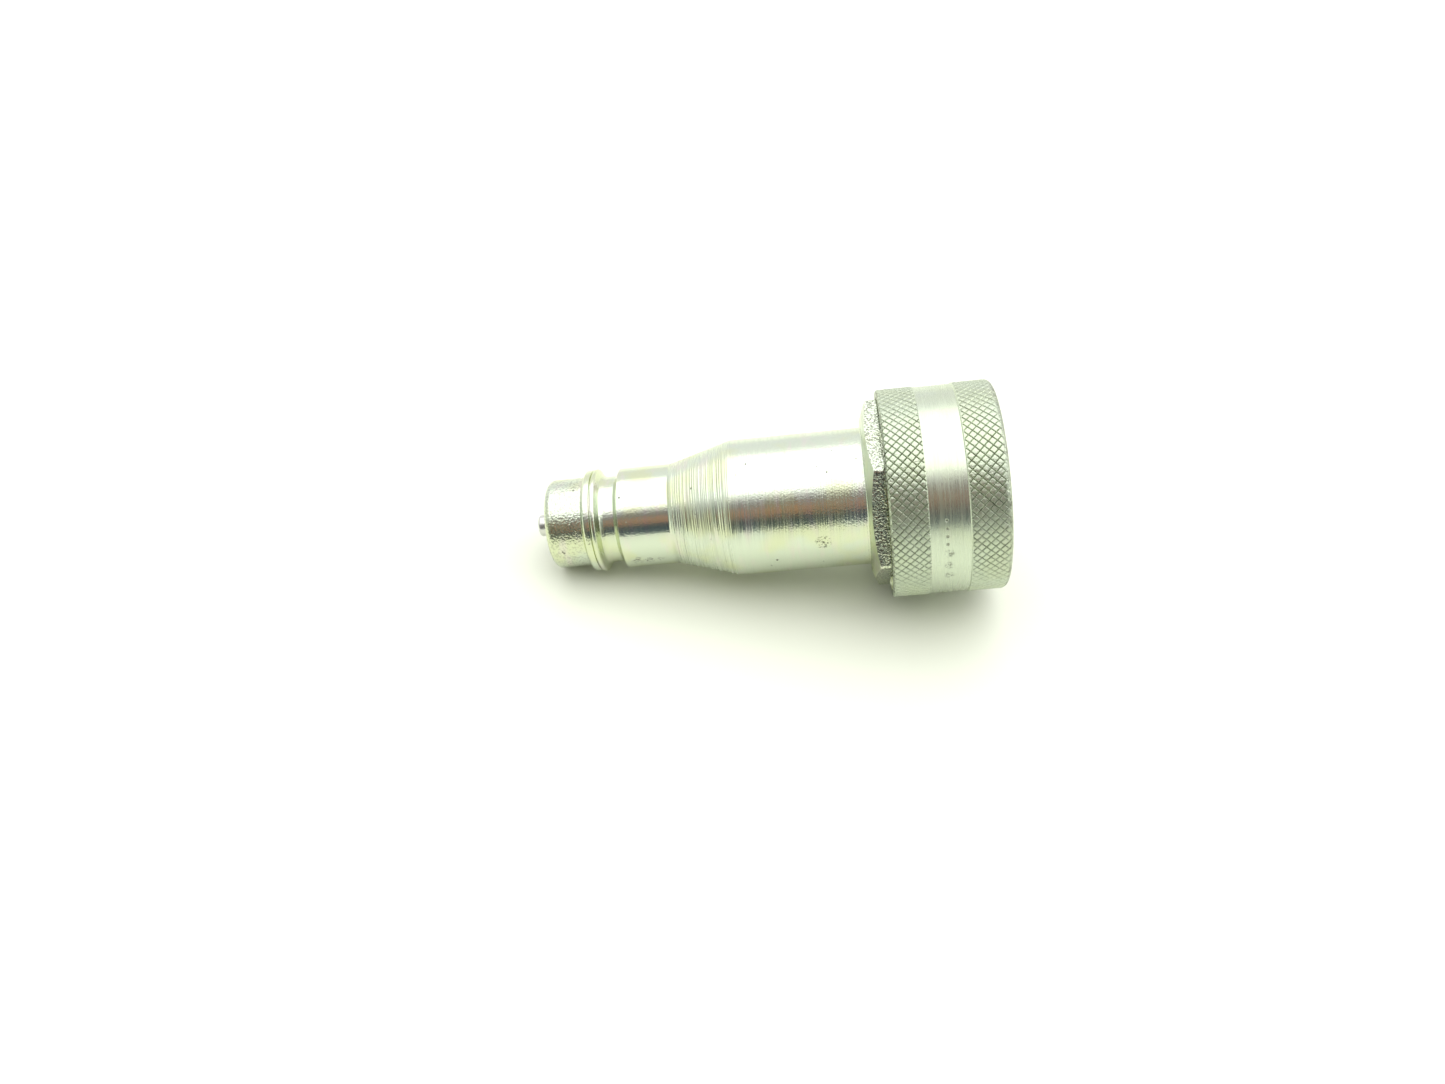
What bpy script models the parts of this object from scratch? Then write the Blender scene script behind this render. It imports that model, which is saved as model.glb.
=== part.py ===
"""Quick disconnect coupler: a poppet-valved male plug whose hexagon carries a larger ball-lock socket.

Stations are millimetres along the coupler's axis, measured from the plug's nose face towards the
socket.  World +X runs the same way, +Z is up, and the origin is the centre of the bounding box.
"""
import math
from collections import namedtuple

import bmesh
import bpy
from mathutils import Matrix, Vector

MM = 0.001
SEGMENTS = 24            # sides of every turned piece; a multiple of the hexagon's 6 and the 8 balls
SEAL_SIDES = 8           # sides of a seal's round section
HOLE_SIDES = 16          # sides of a ball hole
FLOW_HOLE_SIDES = 12
LARGE_COIL_STEPS = 20    # straight steps in a turn of the sleeve's spring
SMALL_COIL_STEPS = 12    # and in a turn of a valve's spring
OVERCUT = 3              # a cutter's length over that of what it cuts
COLLECTION = "quick_disconnect_coupler"

# Clearances
SEAT_GAP = 0.3           # faces that rest on each other
SLIDE_GAP = 0.3          # radial gap of the large sliding fits
STEM_GAP = 0.15          # radial gap of a poppet stem in its guide
RING_GAP = 0.15          # around rings and seals in their grooves
BALL_GAP = 0.12          # around a locking ball in its hole
LAND_GAP = 0.2           # between a locked ball and the sleeve's land

# Plug: outside
NOSE_DIAMETER = 20.5
NOSE_EDGE = 1.5
NOSE_WALL = 2.05
COLLAR_START = 8.6
COLLAR_HEIGHT = 1.6      # radial, over the nose
COLLAR_RISE = 1.5
COLLAR_CREST = 1.6       # from the first bead's crest to the end of the second
COLLAR_FALL = 1.9
COLLAR_SLIT = 0.35       # depth of the fine groove between the two beads
GROOVE_DEPTH = 0.35      # radial, below the nose
GROOVE_LENGTH = 2.4
NECK_HEIGHT = 1.25       # radial, over the nose
NECK_EDGE = 1.0
NECK_END = 28.9
CONE_LENGTH = 13.9
BARREL_DIAMETER = 31.0
BARREL_LENGTH = 29.6
BARREL_WALL = 2.2        # left around the counterbore for the socket's spigot
HEX_ACROSS_FLATS = 38.1
HEX_CORNER_CUT = 0.3     # depth turned off the sharp corners of the hexagon
HEX_LENGTH = 5.5
HEX_FACE_WIDTH = 1.5     # radial width of the flat ring where the barrel meets the hexagon
HEX_CHAMFER = 1.6
HEX_SHOWN = 4.1          # chamfer and flats that the sleeve leaves uncovered
HEX_SHOULDER_SETBACK = 0.15    # the flats stop this far before the sleeve
HEX_SHOULDER_STEP = 0.15       # from a flat down to the round shoulder under the sleeve

# Valves, one in each half
PLUG_SEAT_WIDTH = 1.7    # radial width of the plug's seat, between mouth and chamber
SOCKET_SEAT_WIDTH = 2.2
TIP_RADIUS = 2.5
TIP_EDGE = 0.5
HEAD_RECESS = 0.9        # poppet face behind the body's face
OPENING_LENGTH = 1.3     # straight mouth in front of the 45 degree seat
SEAT_OFFSET = 0.42       # radial gap between the poppet's cone and the seat
SEAL_RADIUS = 0.55
SEAL_SETBACK = 1.23      # seal centre behind the seat's front edge
SEAL_LIFT = 0.35         # seal centre outside the mouth's radius
SEAL_GROOVE = 1.55
SEAL_FLOOR = 0.4         # groove floor inside the mouth's radius
HEAD_LENGTH = 5.0
RIM_GAP = 0.35
STEM_RADIUS = 2.2
STEM_OVERHANG = 1.0
GUIDE_PLATE = 2.5
GUIDE_INSET = 5.3        # socket's guide from the open end of its spigot
PLUG_GUIDE_DEPTH = 24.0
HUB_WALL = 1.55
HUB_SPRING_GAP = 0.5     # between the hub and the spring around it
HUB_REAR = 2.0           # hub behind the guide's plate
FLOW_HOLES = 6
FLOW_WEB = 0.15
CIRCLIP_THICKNESS = 1.1
CIRCLIP_INSIDE = 0.9     # radial width left inside the bore
CIRCLIP_DEPTH = 0.7      # radial width held in the groove
CIRCLIP_SLOT = 3.0
POPPET_STROKE = 3.5      # the open poppet's head meets the front of the guide's hub

# Socket body and its ball lock
SOCKET_BORE_DIAMETER = 31.8
BALL_DIAMETER = 4.76
BALL_COUNT = 8
BALL_PROTRUSION = 1.25   # locked ball inside the socket's bore; also how far it lifts to release
BALL_PROUD = 0.2         # locked ball outside the socket body
BALL_THROAT = 1.0        # length of the taper that keeps the ball from falling in
SLEEVE_TRAVEL = 6.0
HOLE_WEB = 0.4           # metal between a ball hole and the stop ring's groove
STOP_RING_THICKNESS = 1.1
STOP_RING_GROOVE_DEPTH = 1.0
STOP_RING_GRIP = 0.8     # stop ring outside the land's front edge
SOCKET_LIP = 0.7
SOCKET_ENTRY = 0.7
FLANGE_LENGTH = 2.0
SHOULDER_TO_BALLS = 12.8  # depth of the plug's landing shoulder behind the balls
BORE_LENGTH = 5.0        # full-diameter bore behind the balls
SEAL_BORE_STEP = 1.2     # radial, from the bore to the narrower seal bore
SEAL_GROOVE_OFFSET = 1.5
O_RING_SECTION = 2.2
O_RING_SQUEEZE = 0.15    # stands into the seal bore
BACKUP_THICKNESS = 0.95
SPIGOT_LENGTH = 18.8
SPIGOT_WALL = 3.4
JOINT_SEAL_SECTION = 1.6
JOINT_GROOVE_WIDTH = 2.2
JOINT_GROOVE_SETBACK = 0.7

# Sleeve and its spring
SLEEVE_LENGTH = 25.3
SLEEVE_OVERHANG = 0.2    # sleeve's front edge past the socket body's face
SLEEVE_WALL = 1.45
SLEEVE_FRONT_RADIUS = 1.5
SLEEVE_REAR_EDGE = 0.35
REAR_BAND_LENGTH = 8.15
PLAIN_BAND_LENGTH = 8.35
PLAIN_BAND_DEPTH = 0.2
LAND_REAR = 2.8          # land behind the balls' centre
SLEEVE_SPRING_WIRE = 1.6
SLEEVE_SPRING_TURNS = 3.25
DEAD_COIL_PITCH = 1.12   # pitch of a closed end coil, in wire diameters
DEAD_TURNS = 0.75

Valve = namedtuple("Valve", "face direction mouth chamber tip wire turns guide")

# Plug stations
COLLAR_CREST_START = COLLAR_START + COLLAR_RISE
COLLAR_CREST_END = COLLAR_CREST_START + COLLAR_CREST
GROOVE_START = COLLAR_CREST_END + COLLAR_FALL
GROOVE_END = GROOVE_START + GROOVE_LENGTH
BARREL_START = NECK_END + CONE_LENGTH
HEX_START = BARREL_START + BARREL_LENGTH
HEX_END = HEX_START + HEX_LENGTH
HEX_SHARP_RADIUS = HEX_ACROSS_FLATS / 2 / math.cos(math.pi / 6)
HEX_CORNER_RADIUS = HEX_SHARP_RADIUS - HEX_CORNER_CUT

# Socket stations
FLANGE_START = HEX_END + SEAT_GAP
FLANGE_END = FLANGE_START + FLANGE_LENGTH
SPIGOT_START = FLANGE_START - SPIGOT_LENGTH
SLEEVE_REAR = HEX_START + HEX_SHOWN
HEX_FLAT_END = SLEEVE_REAR - HEX_SHOULDER_SETBACK
HEX_SHOULDER_RADIUS = HEX_ACROSS_FLATS / 2 - HEX_SHOULDER_STEP
SLEEVE_FRONT = SLEEVE_REAR + SLEEVE_LENGTH
SOCKET_FRONT = SLEEVE_FRONT - SLEEVE_OVERHANG
STOP_RING_FRONT = SOCKET_FRONT - SOCKET_LIP - RING_GAP
STOP_RING_REAR = STOP_RING_FRONT - STOP_RING_THICKNESS
BALL_HOLE_RADIUS = BALL_DIAMETER / 2 + BALL_GAP
BALL_STATION = STOP_RING_REAR - RING_GAP - HOLE_WEB - BALL_HOLE_RADIUS
SHOULDER = BALL_STATION - SHOULDER_TO_BALLS
BORE_END = BALL_STATION - BORE_LENGTH
SEAL_GROOVE_START = SHOULDER + SEAL_GROOVE_OFFSET
O_RING_STATION = SEAL_GROOVE_START + RING_GAP + O_RING_SECTION / 2
BACKUP_START = O_RING_STATION + O_RING_SECTION / 2 + RING_GAP
SEAL_GROOVE_END = BACKUP_START + BACKUP_THICKNESS + RING_GAP
JOINT_GROOVE_END = FLANGE_START - JOINT_GROOVE_SETBACK
JOINT_GROOVE_START = JOINT_GROOVE_END - JOINT_GROOVE_WIDTH
LAND_FRONT = STOP_RING_REAR - RING_GAP
LAND_END = BALL_STATION - LAND_REAR

# Radii of the plug, and of the joint between the two bodies
NOSE_RADIUS = NOSE_DIAMETER / 2
GROOVE_RADIUS = NOSE_RADIUS - GROOVE_DEPTH
COLLAR_RADIUS = NOSE_RADIUS + COLLAR_HEIGHT
NECK_RADIUS = NOSE_RADIUS + NECK_HEIGHT
BARREL_RADIUS = BARREL_DIAMETER / 2
HUB_RADIUS = STEM_RADIUS + STEM_GAP + HUB_WALL
COUNTERBORE_RADIUS = BARREL_RADIUS - BARREL_WALL
SPIGOT_RADIUS = COUNTERBORE_RADIUS - SLIDE_GAP
JOINT_SEAL_CENTRE = COUNTERBORE_RADIUS - RING_GAP - JOINT_SEAL_SECTION / 2

# Radii of the ball lock, from the bore outwards
SOCKET_BORE = SOCKET_BORE_DIAMETER / 2
SEAL_BORE = SOCKET_BORE - SEAL_BORE_STEP
BALL_CENTRE = SOCKET_BORE - BALL_PROTRUSION + BALL_DIAMETER / 2
BALL_TOP = BALL_CENTRE + BALL_DIAMETER / 2
SOCKET_RADIUS = BALL_TOP - BALL_PROUD
LAND_RADIUS = BALL_TOP + LAND_GAP
RELEASE_RATIO = BALL_PROTRUSION / SLEEVE_TRAVEL
LAND_FRONT_RADIUS = LAND_RADIUS + RELEASE_RATIO * (LAND_FRONT - BALL_STATION)
STOP_RING_INNER = SOCKET_RADIUS - STOP_RING_GROOVE_DEPTH + RING_GAP
STOP_RING_OUTER = LAND_FRONT_RADIUS + STOP_RING_GRIP
RELIEF_RADIUS = max(BALL_TOP + BALL_PROTRUSION + LAND_GAP, STOP_RING_OUTER + SLIDE_GAP)
SPRING_SPACE = SLEEVE_SPRING_WIRE + 2 * SLIDE_GAP
SKIRT_RADIUS = max(HEX_CORNER_RADIUS + SLIDE_GAP, SOCKET_RADIUS + SPRING_SPACE, RELIEF_RADIUS)
SLEEVE_RADIUS = SKIRT_RADIUS + SLEEVE_WALL
FLANGE_RADIUS = SKIRT_RADIUS - SLIDE_GAP

PLUG_CHAMBER = NOSE_RADIUS - NOSE_WALL
SOCKET_CHAMBER = SPIGOT_RADIUS - SPIGOT_WALL
PLUG_VALVE = Valve(face=0.0, direction=1, mouth=PLUG_CHAMBER - PLUG_SEAT_WIDTH, chamber=PLUG_CHAMBER,
                   tip=3.3, wire=1.2, turns=6.5, guide=PLUG_GUIDE_DEPTH)
SOCKET_VALVE = Valve(face=SHOULDER, direction=-1, mouth=SOCKET_CHAMBER - SOCKET_SEAT_WIDTH,
                     chamber=SOCKET_CHAMBER, tip=2.8, wire=1.3, turns=5.0,
                     guide=SHOULDER - SPIGOT_START - GUIDE_INSET)

ORIGIN = (SLEEVE_FRONT - PLUG_VALVE.tip) / 2

ZINC = ((0.74, 0.76, 0.70), 0.28, 1.0)
ZINC_KNURL = ((0.66, 0.68, 0.62), 0.42, 1.0)
BARE_STEEL = ((0.62, 0.62, 0.60), 0.22, 1.0)
SPRING_STEEL = ((0.42, 0.42, 0.43), 0.35, 1.0)
NITRILE = ((0.02, 0.02, 0.022), 0.55, 0.0)
PTFE = ((0.85, 0.85, 0.82), 0.5, 0.0)


def clear_scene():
    for item in list(bpy.data.objects):
        bpy.data.objects.remove(item, do_unlink=True)


def new_collection(name, parent=None):
    collection = bpy.data.collections.new(name)
    (parent or bpy.context.scene.collection).children.link(collection)
    return collection


def material(name, finish):
    colour, roughness, metallic = finish
    result = bpy.data.materials.new(name)
    result.use_nodes = True
    shader = result.node_tree.nodes["Principled BSDF"]
    shader.inputs["Base Color"].default_value = (*colour, 1.0)
    shader.inputs["Roughness"].default_value = roughness
    shader.inputs["Metallic"].default_value = metallic
    result.diffuse_color = (*colour, 1.0)
    return result


def add_piece(name, data, finish, station=0.0):
    """Put data in the scene as a sub-part whose origin is on the axis at the station."""
    data.materials.append(material(name + "_material", finish))
    piece = bpy.data.objects.new(name, data)
    piece.location = ((station - ORIGIN) * MM, 0.0, 0.0)
    parts.objects.link(piece)
    return piece


def add_cutter(name, data, matrix, collection=None):
    cutter = bpy.data.objects.new(name, data)
    cutter.matrix_world = matrix
    cutter.hide_render = True
    cutter.display_type = "WIRE"
    (collection or cutters).objects.link(cutter)
    return cutter


def arc(centre, radius, start, end, steps):
    """Points (station, radius) on a circular arc, with angles in degrees from the station axis."""
    angles = (math.radians(start + (end - start) * i / steps) for i in range(steps + 1))
    return [(centre[0] + radius * math.cos(a), centre[1] + radius * math.sin(a)) for a in angles]


def section_mesh(name, points, closed, datum, segments=SEGMENTS):
    """Section of (station, radius) points to be turned about X."""
    half_step = math.pi / segments
    spoke = Vector((0.0, math.cos(half_step), math.sin(half_step))) * MM
    mesh = bpy.data.meshes.new(name)
    shape = bmesh.new()
    corners = [shape.verts.new(Vector(((x - datum) * MM, 0, 0)) + spoke * r) for x, r in points]
    for first, second in zip(corners, corners[1:]):
        shape.edges.new((first, second))
    if closed:
        shape.edges.new((corners[-1], corners[0]))
    shape.to_mesh(mesh)
    shape.free()
    return mesh


def profile_mesh(name, outer, bore, datum, segments):
    """Section from two lists of points that both run from the plug's nose end to the socket's end.

    The outer side is inscribed in its circle and the bore is around its own, so that the flat
    sides of a turned piece never come closer to a neighbour than the radii say.
    """
    widen = 1 / math.cos(math.pi / segments)
    around = outer + [(x, r * widen) for x, r in reversed(bore)]
    return section_mesh(name, around, bool(bore), datum, segments)


def add_screw(item, segments):
    screw = item.modifiers.new("turning", "SCREW")
    screw.axis = "X"
    screw.angle = math.tau
    screw.steps = segments
    screw.render_steps = segments
    screw.use_normal_flip = True
    screw.use_merge_vertices = True
    screw.merge_threshold = 0.00001
    screw.use_smooth_shade = True


def turned(name, outer, bore, finish, datum, segments=SEGMENTS):
    piece = add_piece(name, profile_mesh(name, outer, bore, datum, segments), finish, datum)
    add_screw(piece, segments)
    return piece


def add_boolean(piece, name, operation, cutter=None, collection=None):
    boolean = piece.modifiers.new(name, "BOOLEAN")
    boolean.operation = operation
    boolean.solver = "EXACT"
    if collection:
        boolean.operand_type = "COLLECTION"
        boolean.collection = collection
    else:
        boolean.object = cutter


def box_mesh(name, size):
    mesh = bpy.data.meshes.new(name)
    shape = bmesh.new()
    bmesh.ops.create_cube(shape, size=1.0, matrix=Matrix.Diagonal((*(s * MM for s in size), 1.0)))
    shape.to_mesh(mesh)
    shape.free()
    return mesh


def rod_mesh(name, radius, length, sides):
    """Closed cylinder or prism along X, centred on its origin, with a flat side facing +Z."""
    turn = Matrix.Rotation(math.pi / 2 + math.pi / sides, 4, "X") @ Matrix.Rotation(math.pi / 2, 4, "Y")
    mesh = bpy.data.meshes.new(name)
    shape = bmesh.new()
    bmesh.ops.create_cone(shape, cap_ends=True, segments=sides, radius1=radius * MM,
                          radius2=radius * MM, depth=length * MM, matrix=turn)
    shape.to_mesh(mesh)
    shape.free()
    return mesh


def axial(station, radius=0.0, angle=0.0):
    """Matrix of something on the axis, or off it at an angle from +Z, facing along the axis."""
    spin = Matrix.Rotation(angle, 4, "X")
    return spin @ Matrix.Translation(((station - ORIGIN) * MM, 0.0, radius * MM))


def seal_ring(name, station, mean_radius, section_radius, finish):
    """Torus about the axis."""
    angles = (math.tau * (0.5 - (i + 0.5) / SEAL_SIDES) for i in range(SEAL_SIDES))
    points = [(station + section_radius * math.cos(a), mean_radius + section_radius * math.sin(a))
              for a in angles]
    piece = add_piece(name, section_mesh(name, points, True, station), finish, station)
    add_screw(piece, SEGMENTS)
    return piece


def coil(name, start, end, mean_radius, wire, turns, per_turn):
    """Compression spring with closed ends. Its wire lies between the stations start and end."""
    length = end - start - wire
    dead_rise = DEAD_TURNS * DEAD_COIL_PITCH * wire
    live_pitch = (length - 2 * dead_rise) / (turns - 2 * DEAD_TURNS)
    curve = bpy.data.curves.new(name, "CURVE")
    curve.dimensions = "3D"
    curve.bevel_depth = wire / 2 * MM
    curve.bevel_resolution = 2
    curve.use_fill_caps = True
    spline = curve.splines.new("POLY")
    count = round(turns * per_turn) + 1
    spline.points.add(count - 1)
    for i, point in enumerate(spline.points):
        turn = turns * i / (count - 1)
        dead = min(turn, DEAD_TURNS) + max(turn - (turns - DEAD_TURNS), 0)
        rise = dead * DEAD_COIL_PITCH * wire + (turn - dead) * live_pitch
        angle = math.tau * turn
        point.co = ((wire / 2 + rise) * MM, mean_radius * math.cos(angle) * MM,
                    mean_radius * math.sin(angle) * MM, 1.0)
    return add_piece(name, curve, SPRING_STEEL, start)


def split_ring(name, start, thickness, inner, outer):
    """Flat retaining ring with a slot at its lowest point."""
    ring = turned(name, [(start, outer), (start + thickness, outer)],
                  [(start, inner), (start + thickness, inner)], SPRING_STEEL, start)
    width = outer - inner
    slot = box_mesh(name + "_slot", (OVERCUT * thickness, CIRCLIP_SLOT, OVERCUT * width))
    cutter = add_cutter(name + "_slot", slot, axial(start + thickness / 2, (inner + outer) / 2, math.pi))
    add_boolean(ring, "slot", "DIFFERENCE", cutter)
    return ring


def valve_station(valve, depth):
    return valve.face + valve.direction * depth


def valve_line(valve, points):
    """Points (depth behind the valve's face, radius) as stations, running towards the socket."""
    line = [(valve_station(valve, depth), radius) for depth, radius in points]
    return line if valve.direction > 0 else line[::-1]


def valve_bore(valve, end_depth):
    """Mouth, seat, chamber and circlip groove in the body around a valve."""
    seat_end = OPENING_LENGTH + valve.chamber - valve.mouth
    groove = circlip_depth(valve) - RING_GAP
    groove_radius = valve.chamber + CIRCLIP_DEPTH + RING_GAP
    groove_end = groove + CIRCLIP_THICKNESS + 2 * RING_GAP
    return valve_line(valve, [
        (0.0, valve.mouth), (OPENING_LENGTH, valve.mouth), (seat_end, valve.chamber),
        (groove, valve.chamber), (groove, groove_radius), (groove_end, groove_radius),
        (groove_end, valve.chamber), (end_depth, valve.chamber)])


def circlip_depth(valve):
    return valve.guide + GUIDE_PLATE + RING_GAP


def poppet_cone(valve, depth):
    """Radius of the poppet's 45 degree cone at a depth behind the valve's face."""
    return valve.mouth + depth - OPENING_LENGTH - SEAT_OFFSET


def make_poppet(name, valve):
    rim = valve.chamber - RIM_GAP
    groove = OPENING_LENGTH + SEAL_SETBACK - SEAL_GROOVE / 2
    groove_end = groove + SEAL_GROOVE
    floor = valve.mouth - SEAL_FLOOR
    cone_end = rim - valve.mouth + OPENING_LENGTH + SEAT_OFFSET
    stem_end = valve.guide + GUIDE_PLATE + HUB_REAR + STEM_OVERHANG
    outline = valve_line(valve, [
        (-valve.tip, 0.0), (-valve.tip, TIP_RADIUS - TIP_EDGE), (TIP_EDGE - valve.tip, TIP_RADIUS),
        (HEAD_RECESS, TIP_RADIUS), (HEAD_RECESS, poppet_cone(valve, HEAD_RECESS)),
        (groove, poppet_cone(valve, groove)), (groove, floor), (groove_end, floor),
        (groove_end, min(poppet_cone(valve, groove_end), rim)),
        (max(cone_end, groove_end + TIP_EDGE), rim), (HEAD_LENGTH, rim),
        (HEAD_LENGTH, STEM_RADIUS), (stem_end - TIP_EDGE, STEM_RADIUS),
        (stem_end, STEM_RADIUS - TIP_EDGE), (stem_end, 0.0)])
    return turned(name, outline, [], BARE_STEEL, valve.face)


def make_poppet_seal(name, valve, poppet):
    station = valve_station(valve, OPENING_LENGTH + SEAL_SETBACK)
    seal = seal_ring(name, station, valve.mouth + SEAL_LIFT, SEAL_RADIUS, NITRILE)
    attach(seal, poppet)


def make_guide(name, valve):
    """Perforated plate whose hub guides the poppet's stem and stops its head."""
    plate = valve.chamber - SLIDE_GAP
    plate_end = valve.guide + GUIDE_PLATE
    hub_start = HEAD_LENGTH + POPPET_STROKE + SEAT_GAP
    hub_end = plate_end + HUB_REAR
    bore = STEM_RADIUS + STEM_GAP
    guide = turned(name, valve_line(valve, [(hub_start, HUB_RADIUS), (valve.guide, HUB_RADIUS),
                                            (valve.guide, plate), (plate_end, plate),
                                            (plate_end, HUB_RADIUS), (hub_end, HUB_RADIUS)]),
                   valve_line(valve, [(hub_start, bore), (hub_end, bore)]), ZINC,
                   valve_station(valve, valve.guide))
    inside = HUB_RADIUS + FLOW_WEB
    outside = valve.chamber - CIRCLIP_INSIDE - FLOW_WEB
    hole = rod_mesh(name + "_hole", (outside - inside) / 2, OVERCUT * GUIDE_PLATE, FLOW_HOLE_SIDES)
    drills = new_collection(name + "_holes", cutters)
    station = valve_station(valve, valve.guide + GUIDE_PLATE / 2)
    for i in range(FLOW_HOLES):
        matrix = axial(station, (outside + inside) / 2, math.tau * i / FLOW_HOLES)
        add_cutter(f"{name}_hole_{i + 1}", hole, matrix, drills)
    add_boolean(guide, "flow_holes", "DIFFERENCE", collection=drills)


def make_valve(prefix, valve):
    poppet = make_poppet(prefix + "_poppet", valve)
    make_poppet_seal(prefix + "_poppet_seal", valve, poppet)
    make_guide(prefix + "_guide", valve)
    ends = sorted(valve_station(valve, d) for d in (HEAD_LENGTH + SEAT_GAP, valve.guide - SEAT_GAP))
    mean = HUB_RADIUS + HUB_SPRING_GAP + valve.wire / 2
    coil(prefix + "_spring", ends[0], ends[1], mean, valve.wire, valve.turns, SMALL_COIL_STEPS)
    edges = sorted(valve_station(valve, circlip_depth(valve) + d) for d in (0, CIRCLIP_THICKNESS))
    split_ring(prefix + "_guide_ring", edges[0], CIRCLIP_THICKNESS, valve.chamber - CIRCLIP_INSIDE,
               valve.chamber + CIRCLIP_DEPTH)


def plug_outline():
    """Nose, double-beaded collar, groove, neck, cone, barrel and the disc that becomes the hexagon."""
    crest = COLLAR_CREST / 4
    fall = COLLAR_FALL / 3
    height = COLLAR_RADIUS - GROOVE_RADIUS
    return [
        *arc((NOSE_EDGE, NOSE_RADIUS - NOSE_EDGE), NOSE_EDGE, 180, 90, 2),
        (COLLAR_START, NOSE_RADIUS),
        (COLLAR_CREST_START, COLLAR_RADIUS - COLLAR_SLIT / 2),
        (COLLAR_CREST_START + crest, COLLAR_RADIUS - COLLAR_SLIT),
        (COLLAR_CREST_START + 2 * crest, COLLAR_RADIUS), (COLLAR_CREST_END, COLLAR_RADIUS),
        (COLLAR_CREST_END + fall, GROOVE_RADIUS + height / 2),
        (COLLAR_CREST_END + 2 * fall, GROOVE_RADIUS + height / 6),
        (GROOVE_START, GROOVE_RADIUS), (GROOVE_END, GROOVE_RADIUS),
        (GROOVE_END + NECK_EDGE / 3, NECK_RADIUS - NECK_EDGE / 3),
        (GROOVE_END + NECK_EDGE, NECK_RADIUS), (NECK_END, NECK_RADIUS),
        (BARREL_START, BARREL_RADIUS), (HEX_START, BARREL_RADIUS),
        (HEX_START, BARREL_RADIUS + HEX_FACE_WIDTH),
        (HEX_START + HEX_CHAMFER, HEX_CORNER_RADIUS), (HEX_FLAT_END, HEX_CORNER_RADIUS),
        (HEX_FLAT_END, HEX_SHOULDER_RADIUS), (HEX_END, HEX_SHOULDER_RADIUS)]


def make_nipple_body():
    floor = SPIGOT_START - SEAT_GAP
    bore = valve_bore(PLUG_VALVE, floor) + [(floor, COUNTERBORE_RADIUS), (HEX_END, COUNTERBORE_RADIUS)]
    body = turned("nipple_body", plug_outline(), bore, ZINC, 0.0)
    bar = rod_mesh("hexagon_bar", HEX_SHARP_RADIUS, OVERCUT * HEX_END, 6)
    add_boolean(body, "hexagon", "INTERSECT", add_cutter("hexagon_bar", bar, axial(HEX_END / 2)))


def ball_hole_mesh():
    """Drill for one ball, along X from the axis outwards, with the taper that stops the ball."""
    throat = math.sqrt((BALL_DIAMETER / 2) ** 2 - (SOCKET_BORE - BALL_CENTRE) ** 2) + BALL_GAP
    start = SOCKET_BORE - BALL_PROTRUSION
    outline = [(start, 0.0), (start, throat), (SOCKET_BORE, throat),
               (SOCKET_BORE + BALL_THROAT, BALL_HOLE_RADIUS), (FLANGE_RADIUS, BALL_HOLE_RADIUS),
               (FLANGE_RADIUS, 0.0)]
    return profile_mesh("ball_hole", outline, [], 0.0, HOLE_SIDES)


def ball_matrix(index, radius):
    """Matrix at a ball's angle around the axis, with its local X pointing outwards."""
    place = axial(BALL_STATION, radius, math.tau * index / BALL_COUNT)
    return place @ Matrix.Rotation(-math.pi / 2, 4, "Y")


def make_socket_body():
    joint_floor = JOINT_SEAL_CENTRE - JOINT_SEAL_SECTION / 2 - RING_GAP
    seal_floor = SEAL_BORE - O_RING_SQUEEZE + O_RING_SECTION + RING_GAP
    ring_floor = SOCKET_RADIUS - STOP_RING_GROOVE_DEPTH
    outline = [
        (SPIGOT_START, SPIGOT_RADIUS), (JOINT_GROOVE_START, SPIGOT_RADIUS),
        (JOINT_GROOVE_START, joint_floor), (JOINT_GROOVE_END, joint_floor),
        (JOINT_GROOVE_END, SPIGOT_RADIUS), (FLANGE_START, SPIGOT_RADIUS),
        (FLANGE_START, FLANGE_RADIUS), (FLANGE_END, FLANGE_RADIUS), (FLANGE_END, SOCKET_RADIUS),
        (STOP_RING_REAR - RING_GAP, SOCKET_RADIUS), (STOP_RING_REAR - RING_GAP, ring_floor),
        (STOP_RING_FRONT + RING_GAP, ring_floor), (STOP_RING_FRONT + RING_GAP, SOCKET_RADIUS),
        (SOCKET_FRONT, SOCKET_RADIUS)]
    inside = valve_bore(SOCKET_VALVE, SHOULDER - SPIGOT_START) + [
        (SHOULDER, SEAL_BORE), (SEAL_GROOVE_START, SEAL_BORE), (SEAL_GROOVE_START, seal_floor),
        (SEAL_GROOVE_END, seal_floor), (SEAL_GROOVE_END, SEAL_BORE),
        (BORE_END - SEAL_BORE_STEP, SEAL_BORE), (BORE_END, SOCKET_BORE),
        (SOCKET_FRONT - SOCKET_ENTRY, SOCKET_BORE), (SOCKET_FRONT, SOCKET_BORE + SOCKET_ENTRY)]
    body = turned("socket_body", outline, inside, ZINC, FLANGE_START)
    drills = new_collection("ball_holes", cutters)
    for i in range(BALL_COUNT):
        drill = add_cutter(f"ball_hole_{i + 1}", ball_hole_mesh(), ball_matrix(i, 0.0), drills)
        add_screw(drill, HOLE_SIDES)
    add_boolean(body, "ball_holes", "DIFFERENCE", collection=drills)


def make_balls():
    mesh = bpy.data.meshes.new("locking_ball")
    shape = bmesh.new()
    bmesh.ops.create_uvsphere(shape, u_segments=12, v_segments=8, radius=BALL_DIAMETER / 2 * MM)
    shape.to_mesh(mesh)
    shape.free()
    mesh.materials.append(material("locking_ball_material", BARE_STEEL))
    for i in range(BALL_COUNT):
        ball = bpy.data.objects.new(f"locking_ball_{i + 1}", mesh)
        ball.matrix_world = ball_matrix(i, BALL_CENTRE)
        parts.objects.link(ball)


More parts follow.
